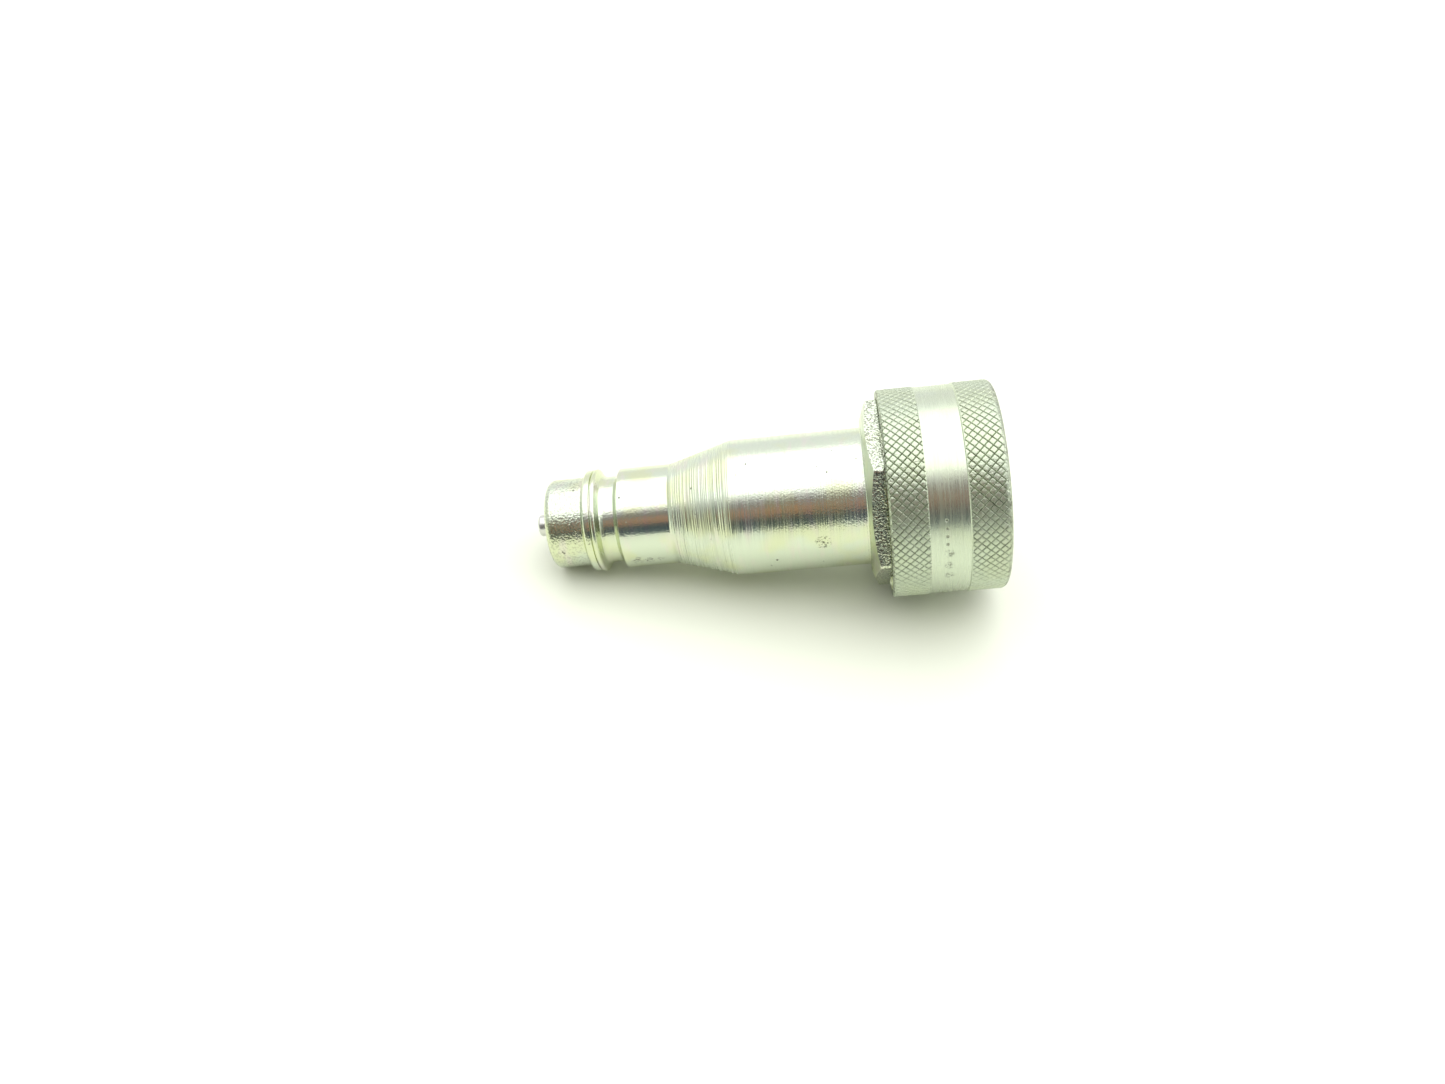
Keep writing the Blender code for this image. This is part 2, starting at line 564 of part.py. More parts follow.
def make_socket_seals():
    centre = SEAL_BORE - O_RING_SQUEEZE + O_RING_SECTION / 2
    seal_ring("socket_oring", O_RING_STATION, centre, O_RING_SECTION / 2, NITRILE)
    ends = (BACKUP_START, BACKUP_START + BACKUP_THICKNESS)
    turned("socket_backup_ring", [(end, centre + O_RING_SECTION / 2) for end in ends],
           [(end, SEAL_BORE + RING_GAP) for end in ends], PTFE, BACKUP_START)
    seal_ring("joint_oring", (JOINT_GROOVE_START + JOINT_GROOVE_END) / 2, JOINT_SEAL_CENTRE,
              JOINT_SEAL_SECTION / 2, NITRILE)


def make_sleeve(axis):
    """Sliding sleeve: two raised bands for the knurl, and inside a land that holds the balls in.

    In front of the balls' centre the land opens at the rate at which the balls lift.
    """
    band_end = SLEEVE_REAR + REAR_BAND_LENGTH
    plain_end = band_end + PLAIN_BAND_LENGTH
    plain = SLEEVE_RADIUS - PLAIN_BAND_DEPTH
    outline = [
        (SLEEVE_REAR, SLEEVE_RADIUS - SLEEVE_REAR_EDGE),
        (SLEEVE_REAR + SLEEVE_REAR_EDGE, SLEEVE_RADIUS),
        (band_end - PLAIN_BAND_DEPTH, SLEEVE_RADIUS), (band_end, plain), (plain_end, plain),
        (plain_end + PLAIN_BAND_DEPTH, SLEEVE_RADIUS),
        *arc((SLEEVE_FRONT - SLEEVE_FRONT_RADIUS, SLEEVE_RADIUS - SLEEVE_FRONT_RADIUS),
             SLEEVE_FRONT_RADIUS, 90, 0, 3)]
    inside = [
        (SLEEVE_REAR, SKIRT_RADIUS), (LAND_END, SKIRT_RADIUS), (LAND_END, LAND_RADIUS),
        (BALL_STATION, LAND_RADIUS), (LAND_FRONT, LAND_FRONT_RADIUS), (LAND_FRONT, RELIEF_RADIUS),
        (SLEEVE_FRONT, RELIEF_RADIUS)]
    sleeve = turned("sleeve", outline, inside, ZINC_KNURL, SLEEVE_REAR)
    attach(sleeve, axis)


def make_sleeve_spring(axis):
    mean = (SOCKET_RADIUS + SKIRT_RADIUS) / 2
    spring = coil("sleeve_spring", FLANGE_END + SEAT_GAP, LAND_END - SEAT_GAP, mean,
                  SLEEVE_SPRING_WIRE, SLEEVE_SPRING_TURNS, LARGE_COIL_STEPS)
    attach(spring, axis)


def add_axis(name, station):
    """Empty on the coupler's axis that carries pieces which move together."""
    empty = bpy.data.objects.new(name, None)
    empty.empty_display_size = SLEEVE_RADIUS * MM
    empty.location = ((station - ORIGIN) * MM, 0.0, 0.0)
    parts.objects.link(empty)
    return empty


def attach(child, parent):
    """Parent a piece on the axis to another one and keep its place."""
    child.parent = parent
    child.location -= parent.location


def apply_and_shade():
    """Apply every part's modifiers and shade it smooth between its real edges."""
    bpy.context.view_layer.update()
    depsgraph = bpy.context.evaluated_depsgraph_get()
    finished = {}
    for piece in parts.objects:
        if piece.type == "MESH" and piece.modifiers:
            finished[piece] = bpy.data.meshes.new_from_object(piece.evaluated_get(depsgraph))
    for piece, mesh in finished.items():
        piece.modifiers.clear()
        piece.data = mesh
    for mesh in {piece.data for piece in parts.objects if piece.type == "MESH"}:
        mesh.shade_smooth()
        mesh.set_sharp_from_angle(angle=math.radians(30))


clear_scene()
parts = new_collection(COLLECTION)
cutters = new_collection("cutters")

make_nipple_body()
make_socket_body()
make_socket_seals()
split_ring("sleeve_stop_ring", STOP_RING_REAR, STOP_RING_THICKNESS, STOP_RING_INNER, STOP_RING_OUTER)
sleeve_axis = add_axis("sleeve_axis", SLEEVE_REAR)
make_sleeve(sleeve_axis)
make_sleeve_spring(sleeve_axis)
make_balls()
make_valve("nipple", PLUG_VALVE)
make_valve("coupler", SOCKET_VALVE)
apply_and_shade()
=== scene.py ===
"""Looks of the quick disconnect coupler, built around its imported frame.

Sizes are in millimetres.  A station is a distance along the coupler's axis (world +X) from the plug's
nose face, and a radius is measured from that axis.  Angles around the axis start at +Z and turn
towards -Y.
"""
import math

import bmesh
import bpy
import numpy as np
from mathutils import Matrix, Vector


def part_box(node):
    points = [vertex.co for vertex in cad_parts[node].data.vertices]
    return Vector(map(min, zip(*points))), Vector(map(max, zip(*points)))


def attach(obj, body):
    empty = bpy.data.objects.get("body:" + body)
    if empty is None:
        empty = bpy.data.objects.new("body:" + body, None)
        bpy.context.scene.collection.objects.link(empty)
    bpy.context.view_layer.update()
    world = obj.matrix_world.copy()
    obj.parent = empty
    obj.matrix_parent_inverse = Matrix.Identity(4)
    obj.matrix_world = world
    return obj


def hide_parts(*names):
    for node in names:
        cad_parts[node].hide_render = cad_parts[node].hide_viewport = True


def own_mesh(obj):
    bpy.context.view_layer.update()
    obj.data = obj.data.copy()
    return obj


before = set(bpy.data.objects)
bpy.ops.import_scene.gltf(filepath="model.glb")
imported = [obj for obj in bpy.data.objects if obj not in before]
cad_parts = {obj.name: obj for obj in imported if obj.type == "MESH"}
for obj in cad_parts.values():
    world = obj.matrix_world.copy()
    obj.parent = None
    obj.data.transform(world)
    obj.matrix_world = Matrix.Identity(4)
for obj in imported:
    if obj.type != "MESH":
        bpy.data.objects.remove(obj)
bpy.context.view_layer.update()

MM = 0.001
CAD_SIDES = 24
NOSE_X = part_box("nipple_body")[0].x


def station_of(x):
    return (x - NOSE_X) / MM


def ends(node):
    """First and last station of a CAD node."""
    low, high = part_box(node)
    return station_of(low.x), station_of(high.x)


def reach(node):
    """Outer radius of a CAD node that goes round the axis and has a flat facing +Z."""
    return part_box(node)[1].z / MM / math.cos(math.pi / CAD_SIDES)


# Fineness
COLUMNS = 192            # sides of a turned piece; a multiple of the hexagon's 6 and the 8 balls
FILLET_STEP = 18.0       # degrees turned by one step of a rounded corner
SHARP_ANGLE = 32.0
SLEEVE_SHARP_ANGLE = 20.0
SPRING_SHARP_ANGLE = 50.0
SEAL_POINTS = 28
COIL_STEPS = 56
FLOW_HOLE_SIDES = 40
BALL_HOLE_SIDES = 48
BALL_CUTS = 11           # of each edge of the cube that becomes a ball

# Stations taken from the frame
SLEEVE_REAR, SLEEVE_FRONT = ends("sleeve")
SPIGOT_START, SOCKET_FRONT = ends("socket_body")
HEX_END = ends("nipple_body")[1]
BALL_STATION = sum(ends("locking_ball_1")) / 2
STOP_RING_REAR, STOP_RING_FRONT = ends("sleeve_stop_ring")
SLEEVE_RADIUS = reach("sleeve")

# Clearances, as in the CAD
SEAT_GAP = 0.3
SLIDE_GAP = 0.3
STEM_GAP = 0.15
RING_GAP = 0.15
BALL_GAP = 0.12
LAND_GAP = 0.2

# Plug
NOSE_RADIUS = 10.25
NOSE_EDGE = 1.5
COLLAR_START = 8.6
COLLAR_RADIUS = 11.85
COLLAR_RISE = 1.5
BEAD_LENGTH = 0.8
BEAD_DROP = 0.17         # first bead below the second
SLIT_WIDTH = 0.4
SLIT_DEPTH = 0.4
COLLAR_FALL = 1.9
GROOVE_RADIUS = 9.9
GROOVE_LENGTH = 2.4
NECK_RADIUS = 11.5
NECK_EDGE = 1.0
NECK_END = 28.9
BARREL_START = 42.8
BARREL_RADIUS = 15.5
HEX_START = 72.4
HEX_ACROSS_FLATS = 38.1
HEX_SHARP_RADIUS = HEX_ACROSS_FLATS / 2 / math.cos(math.pi / 6)
HEX_CORNER_RADIUS = HEX_SHARP_RADIUS - 0.3
HEX_FACE_RADIUS = BARREL_RADIUS + 1.5
HEX_CHAMFER = 1.6
HEX_FLAT_END = SLEEVE_REAR - 0.15
HEX_SHOULDER_RADIUS = HEX_ACROSS_FLATS / 2 - 0.15
COUNTERBORE_RADIUS = 13.3
SPIGOT_RADIUS = COUNTERBORE_RADIUS - SLIDE_GAP

# Valves: face, direction into the body, mouth, chamber, tip, wire, turns and guide depth
PLUG_VALVE = {"face": 0.0, "into": 1, "mouth": 6.5, "chamber": 8.2, "tip": 3.3, "wire": 1.2,
              "turns": 6.5, "guide": 24.0}
SOCKET_VALVE = {"face": BALL_STATION - 12.8, "into": -1, "mouth": 7.4, "chamber": 9.6, "tip": 2.8,
                "wire": 1.3, "turns": 5.0, "guide": BALL_STATION - 12.8 - SPIGOT_START - 5.3}
OPENING_LENGTH = 1.3
SEAT_OFFSET = 0.42
HEAD_RECESS = 0.9
HEAD_LENGTH = 5.0
RIM_GAP = 0.35
TIP_RADIUS = 2.5
STEM_RADIUS = 2.2
SEAL_SETBACK = 1.23
SEAL_GROOVE = 1.55
SEAL_FLOOR = 0.4
GUIDE_PLATE = 2.5
HUB_WALL = 1.55
HUB_RADIUS = STEM_RADIUS + STEM_GAP + HUB_WALL
HUB_SPRING_GAP = 0.5
HUB_REAR = 2.0
POPPET_STROKE = 3.5
FLOW_HOLES = 6
FLOW_WEB = 0.15
CIRCLIP_THICKNESS = 1.1
CIRCLIP_INSIDE = 0.9
CIRCLIP_DEPTH = 0.7
RING_SLOT = 3.0
RING_BEVEL = 0.12

# Socket and its lock
SOCKET_BORE = 15.9
SOCKET_RADIUS = 19.21
SEAL_BORE = 14.7
BORE_LENGTH = 5.0
SEAL_GROOVE_OFFSET = 1.5
SEAL_GROOVE_WIDTH = 3.6
SEAL_GROOVE_DEPTH = 2.2
O_RING_SECTION = 2.2
O_RING_SQUEEZE = 0.15
FLASH_HEIGHT = 0.03
JOINT_SEAL_SECTION = 1.6
JOINT_GROOVE_WIDTH = 2.2
JOINT_GROOVE_SETBACK = 0.7
FLANGE_START = HEX_END + SEAT_GAP
FLANGE_END = FLANGE_START + 2.0
SOCKET_ENTRY = 0.7
RING_GROOVE_DEPTH = 1.0
BALL_RADIUS = 2.38
BALL_CENTRE = 17.03
BALL_PROTRUSION = SOCKET_BORE - BALL_CENTRE + BALL_RADIUS
BALL_COUNT = 8
BALL_THROAT = 1.0
CUTTER_OVERLAP = 0.01
TRACK_DEPTH = 0.012      # of the polished line that a ball's seat leaves

# Sleeve
SKIRT_RADIUS = 22.0
LAND_RADIUS = BALL_CENTRE + BALL_RADIUS + LAND_GAP
LAND_RISE = 0.6
LAND_REAR = BALL_STATION - 2.8
LAND_FRONT = STOP_RING_REAR - RING_GAP
RELIEF_RADIUS = 21.31
REAR_EDGE = 0.35
FRONT_RADIUS = 1.5
REAR_BAND_END = SLEEVE_REAR + 8.15
PLAIN_BAND_END = REAR_BAND_END + 8.35
PLAIN_BAND_DEPTH = 0.2
SPRING_MEAN = (SOCKET_RADIUS + SKIRT_RADIUS) / 2
SPRING_WIRE = 1.6
SPRING_TURNS = 3.25
DEAD_TURNS = 0.75        # at each end of a spring
DEAD_PITCH = 1.12        # of those turns, in wire diameters
GRIND = 0.12             # ground off each end, in wire diameters

# Knurl
DIAMONDS = 77            # around the sleeve
DIAMOND_STEPS = 8        # grid steps from one groove to the next, both ways
GROOVE_DEPTH = 0.22
GROOVE_SHOULDER = 0.14   # share of the depth one grid step from a groove's middle
GROOVE_SPREAD = 0.16     # how much single grooves differ in depth
TOP_JITTER = 0.006
KNURL_SEED = 11
REAR_ROWS = 32
PLAIN_ROWS = 35
FRONT_ROWS = 30
ARC_STEPS = 10

# Studio
CAMERA_PLACE = Vector((NOSE_X / MM + 66.143, -180.801, 192.332)) * MM
CAMERA_FORWARD = Vector((-0.10247, 0.66019, -0.74407))
CAMERA_UP = Vector((0.08939, 0.75110, 0.65411))
CAMERA_LENS = 28.7
SENSOR_WIDTH = 36.0
FLOOR_ROLL = 3.7         # degrees between a flat of the hexagon and the floor
FLOOR_SIZE = 6.0         # metres
ROOM_GAIN = 1.15
FAR_END_SHADE = (0.72, 0.76, 0.70)
LAMP_GAIN = 0.85         # how much brighter the lamp is than the white walls


# ---- outlines and turned meshes

def fillet(before, corner, after, radius):
    """Points that round a corner of an outline, or the corner itself where it can't be rounded."""
    first, second = Vector(before) - Vector(corner), Vector(after) - Vector(corner)
    shortest = min(first.length, second.length)
    if radius <= 0 or shortest < 1e-6:
        return [tuple(corner)]
    opening = first.angle(second)
    turn = math.pi - opening
    if turn < math.radians(4):
        return [tuple(corner)]
    tangent = min(radius / math.tan(opening / 2), 0.45 * shortest)
    radius = tangent * math.tan(opening / 2)
    first.normalize()
    second.normalize()
    centre = Vector(corner) + (first + second).normalized() * math.hypot(radius, tangent)
    start = Vector(corner) + first * tangent - centre
    steps = max(2, math.ceil(math.degrees(turn) / FILLET_STEP))
    side = 1 if start.cross(Vector(corner) - centre) > 0 else -1
    points = []
    for i in range(steps + 1):
        angle = side * turn * i / steps
        points.append((centre.x + start.x * math.cos(angle) - start.y * math.sin(angle),
                       centre.y + start.x * math.sin(angle) + start.y * math.cos(angle)))
    return points


def outline(corners, closed):
    """Outline through corners (station, radius, fillet radius)."""
    points = []
    count = len(corners)
    for i, (station, radius, rounding) in enumerate(corners):
        if not closed and i in (0, count - 1):
            points.append((station, radius))
            continue
        before, after = corners[i - 1][:2], corners[(i + 1) % count][:2]
        points += fillet(before, (station, radius), after, rounding)
    return points


def new_object(name, mesh):
    item = bpy.data.objects.new(name, mesh)
    bpy.context.scene.collection.objects.link(item)
    return item


def operator_mesh(name, operator, **settings):
    """Mesh made by one bmesh operator."""
    mesh = bpy.data.meshes.new(name)
    shape = bmesh.new()
    operator(shape, **settings)
    shape.to_mesh(mesh)
    shape.free()
    return mesh


def grid_mesh(name, stations, radii, closed, depths=None):
    """Mesh of rows around the axis: stations is one value a row, radii one row of values each.

    Where depths are given, quads that they tilt are split along the groove.
    """
    rows, columns = radii.shape
    angles = np.arange(columns) * (2 * math.pi / columns)
    x = np.broadcast_to(NOSE_X + stations[:, None] * MM, radii.shape)
    points = np.stack([x, -radii * MM * np.sin(angles), radii * MM * np.cos(angles)], axis=2)
    last = rows if closed else rows - 1
    row = np.arange(last)[:, None]
    column = np.arange(columns)[None, :]
    after = (column + 1) % columns
    upper = (row + 1) % rows
    quads = np.stack([row * columns + column, row * columns + after,
                      upper * columns + after, upper * columns + column], axis=2)
    if depths is None:
        faces = quads.reshape(-1, 4).tolist()
    else:
        carved = np.abs(depths).max(axis=1) > 0
        split = carved[:-1] | carved[1:]
        plain = np.append(~split, True)
        faces = quads[plain].reshape(-1, 4).tolist() + knurl_faces(depths, split).tolist()
    mesh = bpy.data.meshes.new(name)
    mesh.from_pydata(points.reshape(-1, 3).tolist(), [], faces)
    return mesh


def close_and_orient(mesh):
    """Merge points that share a place, such as a row on the axis, and turn all faces outwards."""
    shape = bmesh.new()
    shape.from_mesh(mesh)
    bmesh.ops.remove_doubles(shape, verts=shape.verts, dist=0.002 * MM)
    bmesh.ops.recalc_face_normals(shape, faces=shape.faces)
    shape.to_mesh(mesh)
    shape.free()


def turned(name, corners, closed=True):
    """Piece turned about the axis from corners (station, radius, fillet radius)."""
    points = np.array(outline(corners, closed))
    radii = np.repeat(points[:, 1:2], COLUMNS, axis=1)
    mesh = grid_mesh(name, points[:, 0], radii, closed)
    close_and_orient(mesh)
    return new_object(name, mesh)


def shade(item, angle=SHARP_ANGLE):
    """Smooth shading that keeps real edges and lets the large faces set the normals."""
    item.data.shade_smooth()
    item.data.set_sharp_from_angle(angle=math.radians(angle))
    normals = item.modifiers.new("normals", "WEIGHTED_NORMAL")
    normals.keep_sharp = True
    normals.weight = 100


def apply_modifiers(item):
    """Replace an object's mesh by its evaluated one."""
    bpy.context.view_layer.update()
    evaluated = item.evaluated_get(bpy.context.evaluated_depsgraph_get())
    mesh = bpy.data.meshes.new_from_object(evaluated)
    item.modifiers.clear()
    item.data = mesh


def cut(item, cutters, operation="DIFFERENCE"):
    """Cut an object with throw-away cutters."""
    for i, cutter in enumerate(cutters):
        boolean = item.modifiers.new(f"cut_{i}", "BOOLEAN")
        boolean.operation = operation
        boolean.solver = "EXACT"
        boolean.object = cutter
    apply_modifiers(item)
    for cutter in cutters:
        bpy.data.objects.remove(cutter, do_unlink=True)


def around(angle, station=0.0, radius=0.0):
    """Matrix of something at an angle around the axis, a station along it and a radius from it."""
    return (Matrix.Rotation(angle, 4, "X")
            @ Matrix.Translation((NOSE_X + station * MM, 0.0, radius * MM)))


LENGTHWISE = Matrix.Rotation(math.pi / 2, 4, "Y")


def rod(name, matrix, length, radius, sides, far_radius=None):
    """Closed prism or cone along its own Z, as a cutter."""
    far_radius = radius if far_radius is None else far_radius
    mesh = operator_mesh(name, bmesh.ops.create_cone, cap_ends=True, segments=sides,
                         radius1=radius * MM, radius2=far_radius * MM, depth=length * MM)
    mesh.transform(matrix)
    return new_object(name, mesh)


# ---- plug

def valve_at(valve, depth):
    return valve["face"] + valve["into"] * depth


def valve_corners(valve, corners):
    """Corners (depth behind the valve's face, radius, fillet) as stations towards the socket."""
    line = [(valve_at(valve, depth), radius, rounding) for depth, radius, rounding in corners]
    return line if valve["into"] > 0 else line[::-1]


def circlip_depth(valve):
    return valve["guide"] + GUIDE_PLATE + RING_GAP


def valve_bore(valve, end_depth):
    mouth, chamber = valve["mouth"], valve["chamber"]
    groove = circlip_depth(valve) - RING_GAP
    floor = chamber + CIRCLIP_DEPTH + RING_GAP
    groove_end = groove + CIRCLIP_THICKNESS + 2 * RING_GAP
    return valve_corners(valve, [
        (0.0, mouth, 0.3), (OPENING_LENGTH, mouth, 0.15),
        (OPENING_LENGTH + chamber - mouth, chamber, 0.3), (groove, chamber, 0.1),
        (groove, floor, 0.1), (groove_end, floor, 0.1), (groove_end, chamber, 0.1),
        (end_depth, chamber, 0.15)])


def plug_corners():
    """Outside of the plug, from the nose face to the back of the hexagon."""
    bead = COLLAR_START + COLLAR_RISE
    slit = bead + BEAD_LENGTH
    crest_end = bead + 2 * BEAD_LENGTH
    groove_start = crest_end + COLLAR_FALL
    groove_end = groove_start + GROOVE_LENGTH
    first_radius = COLLAR_RADIUS - BEAD_DROP
    slit_radius = first_radius - SLIT_DEPTH
    middle = (COLLAR_RADIUS + GROOVE_RADIUS) / 2
    return [
        (0.0, NOSE_RADIUS, NOSE_EDGE), (COLLAR_START, NOSE_RADIUS, 0.12),
        (COLLAR_START + 0.5, first_radius - 0.35, 0.35), (COLLAR_START + 0.85, first_radius, 0.3),
        (slit - SLIT_WIDTH / 2, first_radius, 0.1), (slit - 0.06, slit_radius, 0.0),
        (slit + 0.06, slit_radius, 0.0), (slit + SLIT_WIDTH / 2, COLLAR_RADIUS - 0.12, 0.12),
        (slit + SLIT_WIDTH, COLLAR_RADIUS, 0.3), (crest_end + 0.15, COLLAR_RADIUS, 0.6),
        (crest_end + 0.55, middle + 0.25, 0.5), (crest_end + 1.1, GROOVE_RADIUS + 0.4, 0.8),
        (groove_start, GROOVE_RADIUS, 0.6), (groove_end, GROOVE_RADIUS, 0.15),
        (groove_end + 0.85, NECK_RADIUS - 0.3, 0.12),
        (groove_end + NECK_EDGE + 0.1, NECK_RADIUS, 0.12), (NECK_END, NECK_RADIUS, 3.0),
        (BARREL_START, BARREL_RADIUS, 1.2), (HEX_START, BARREL_RADIUS, 0.35),
        (HEX_START, HEX_FACE_RADIUS, 0.25), (HEX_START + HEX_CHAMFER, HEX_CORNER_RADIUS, 0.2),
        (HEX_FLAT_END, HEX_CORNER_RADIUS, 0.15), (HEX_FLAT_END, HEX_SHOULDER_RADIUS, 0.0),
        (HEX_END, HEX_SHOULDER_RADIUS, 0.15)]


def make_plug_body():
    floor = SPIGOT_START - SEAT_GAP
    bore = valve_bore(PLUG_VALVE, floor)
    bore += [(floor, COUNTERBORE_RADIUS, 0.3), (HEX_END, COUNTERBORE_RADIUS, 0.4)]
    body = turned("plug_body", plug_corners() + bore[::-1])
    matrix = Matrix.Translation((NOSE_X + HEX_END / 2 * MM, 0.0, 0.0)) @ LENGTHWISE
    bar = rod("hexagon_bar", matrix, 3 * HEX_END, HEX_SHARP_RADIUS, 6)
    cut(body, [bar], "INTERSECT")
    return body


# ---- sleeve

def divide(start, end, count):
    """Rows (station, radius) after start, up to and including end."""
    return [(start[0] + (end[0] - start[0]) * i / count, start[1] + (end[1] - start[1]) * i / count)
            for i in range(1, count + 1)]


def knurl_depths(rows, shares, generator):
    """Groove depth at each point of a band: two families of diagonal grooves, each its own depth."""
    columns = DIAMONDS * DIAMOND_STEPS
    row = np.arange(rows)[:, None]
    column = np.arange(columns)[None, :]
    depth = np.zeros((rows, columns))
    for slant in (1, -1):
        line = (column + slant * row) % columns
        nearest = (line + DIAMOND_STEPS // 2) // DIAMOND_STEPS % DIAMONDS
        away = np.abs((line + DIAMOND_STEPS // 2) % DIAMOND_STEPS - DIAMOND_STEPS // 2)
        single = 1 + GROOVE_SPREAD * generator.uniform(-1, 1, DIAMONDS)
        wall = np.interp(away, (0, 1, 2), (1.0, GROOVE_SHOULDER, 0.0))
        depth = np.maximum(depth, wall * single[nearest])
    worn = generator.normal(0, TOP_JITTER, depth.shape)
    return (depth * GROOVE_DEPTH + np.where(depth > 0, 0, worn)) * np.array(shares)[:, None]


def knurl_faces(depth, wanted):
    """Triangles for the wanted rows of a grid, split along the diagonal that follows a groove."""
    rows, columns = depth.shape
    row = np.arange(rows)[:-1, None]
    column = np.arange(columns)[None, :]
    after = (column + 1) % columns
    low, high = depth[:-1], depth[1:]
    low_next, high_next = np.roll(low, -1, 1), np.roll(high, -1, 1)
    rising = np.abs(low - high_next) - (low + high_next) / 4
    falling = np.abs(low_next - high) - (low_next + high) / 4
    level = rising <= falling
    a, b = row * columns + column, row * columns + after
    c, d = (row + 1) * columns + after, (row + 1) * columns + column
    first = np.where(level[:, :, None], np.stack([a, b, c], 2), np.stack([a, b, d], 2))[wanted]
    second = np.where(level[:, :, None], np.stack([a, c, d], 2), np.stack([b, c, d], 2))[wanted]
    return np.concatenate([first.reshape(-1, 3), second.reshape(-1, 3)])


def sleeve_grid():
    """Sleeve with two knurled bands, a brushed band between them and the ball lock's land inside."""
    generator = np.random.default_rng(KNURL_SEED)
    plain = SLEEVE_RADIUS - PLAIN_BAND_DEPTH
    edge = (SLEEVE_REAR, SLEEVE_RADIUS - REAR_EDGE)
    crest = (SLEEVE_REAR + REAR_EDGE, SLEEVE_RADIUS)
    rear_end = (REAR_BAND_END - PLAIN_BAND_DEPTH, SLEEVE_RADIUS)
    front_start = (PLAIN_BAND_END + PLAIN_BAND_DEPTH, SLEEVE_RADIUS)
    arc_centre = (SLEEVE_FRONT - FRONT_RADIUS, SLEEVE_RADIUS - FRONT_RADIUS)
    arc_start = (arc_centre[0], SLEEVE_RADIUS)
    arc = [(arc_centre[0] + FRONT_RADIUS * math.sin(a), arc_centre[1] + FRONT_RADIUS * math.cos(a))
           for a in (math.pi / 2 * i / ARC_STEPS for i in range(1, ARC_STEPS + 1))]

    rear = [edge] + divide(edge, crest, 2) + divide(crest, rear_end, REAR_ROWS)
    flat = divide(rear_end, (REAR_BAND_END, plain), 1)
    flat += divide((REAR_BAND_END, plain), (PLAIN_BAND_END, plain), PLAIN_ROWS)
    front = divide((PLAIN_BAND_END, plain), front_start, 1)
    front += divide(front_start, arc_start, FRONT_ROWS) + arc
    inside = outline([
        arc[-1] + (0.0,), (SLEEVE_FRONT, RELIEF_RADIUS, 0.25), (LAND_FRONT, RELIEF_RADIUS, 0.15),
        (LAND_FRONT, LAND_RADIUS + LAND_RISE, 0.1), (BALL_STATION, LAND_RADIUS, 0.4),
        (LAND_REAR, LAND_RADIUS, 0.15), (LAND_REAR, SKIRT_RADIUS, 0.3),
        (SLEEVE_REAR, SKIRT_RADIUS, 0.15), edge + (0.0,)], closed=False)[1:-1]

    fade = [max(0.0, 1 - 1.6 * i / ARC_STEPS) for i in range(1, ARC_STEPS + 1)]
    rear_share = [0.8] + [1.0] * (len(rear) - 1)
    front_share = [0.0] + [1.0] * (len(front) - 1 - ARC_STEPS) + fade
    rows = rear + flat + front + inside
    stations = np.array([row[0] for row in rows])
    radii = np.repeat(np.array([[row[1]] for row in rows]), DIAMONDS * DIAMOND_STEPS, axis=1)
    depths = np.zeros(radii.shape)
    first_front = len(rear) + len(flat)
    for start, shares in ((0, rear_share), (first_front, front_share)):
        depths[start:start + len(shares)] = knurl_depths(len(shares), shares, generator)
    radii -= depths
    return stations, radii, depths


def make_sleeve():
    stations, radii, depths = sleeve_grid()
    mesh = grid_mesh("sleeve_knurled", stations, radii, True, depths)
    close_and_orient(mesh)
    return new_object("sleeve_knurled", mesh)


# ---- socket, balls, rings, seals

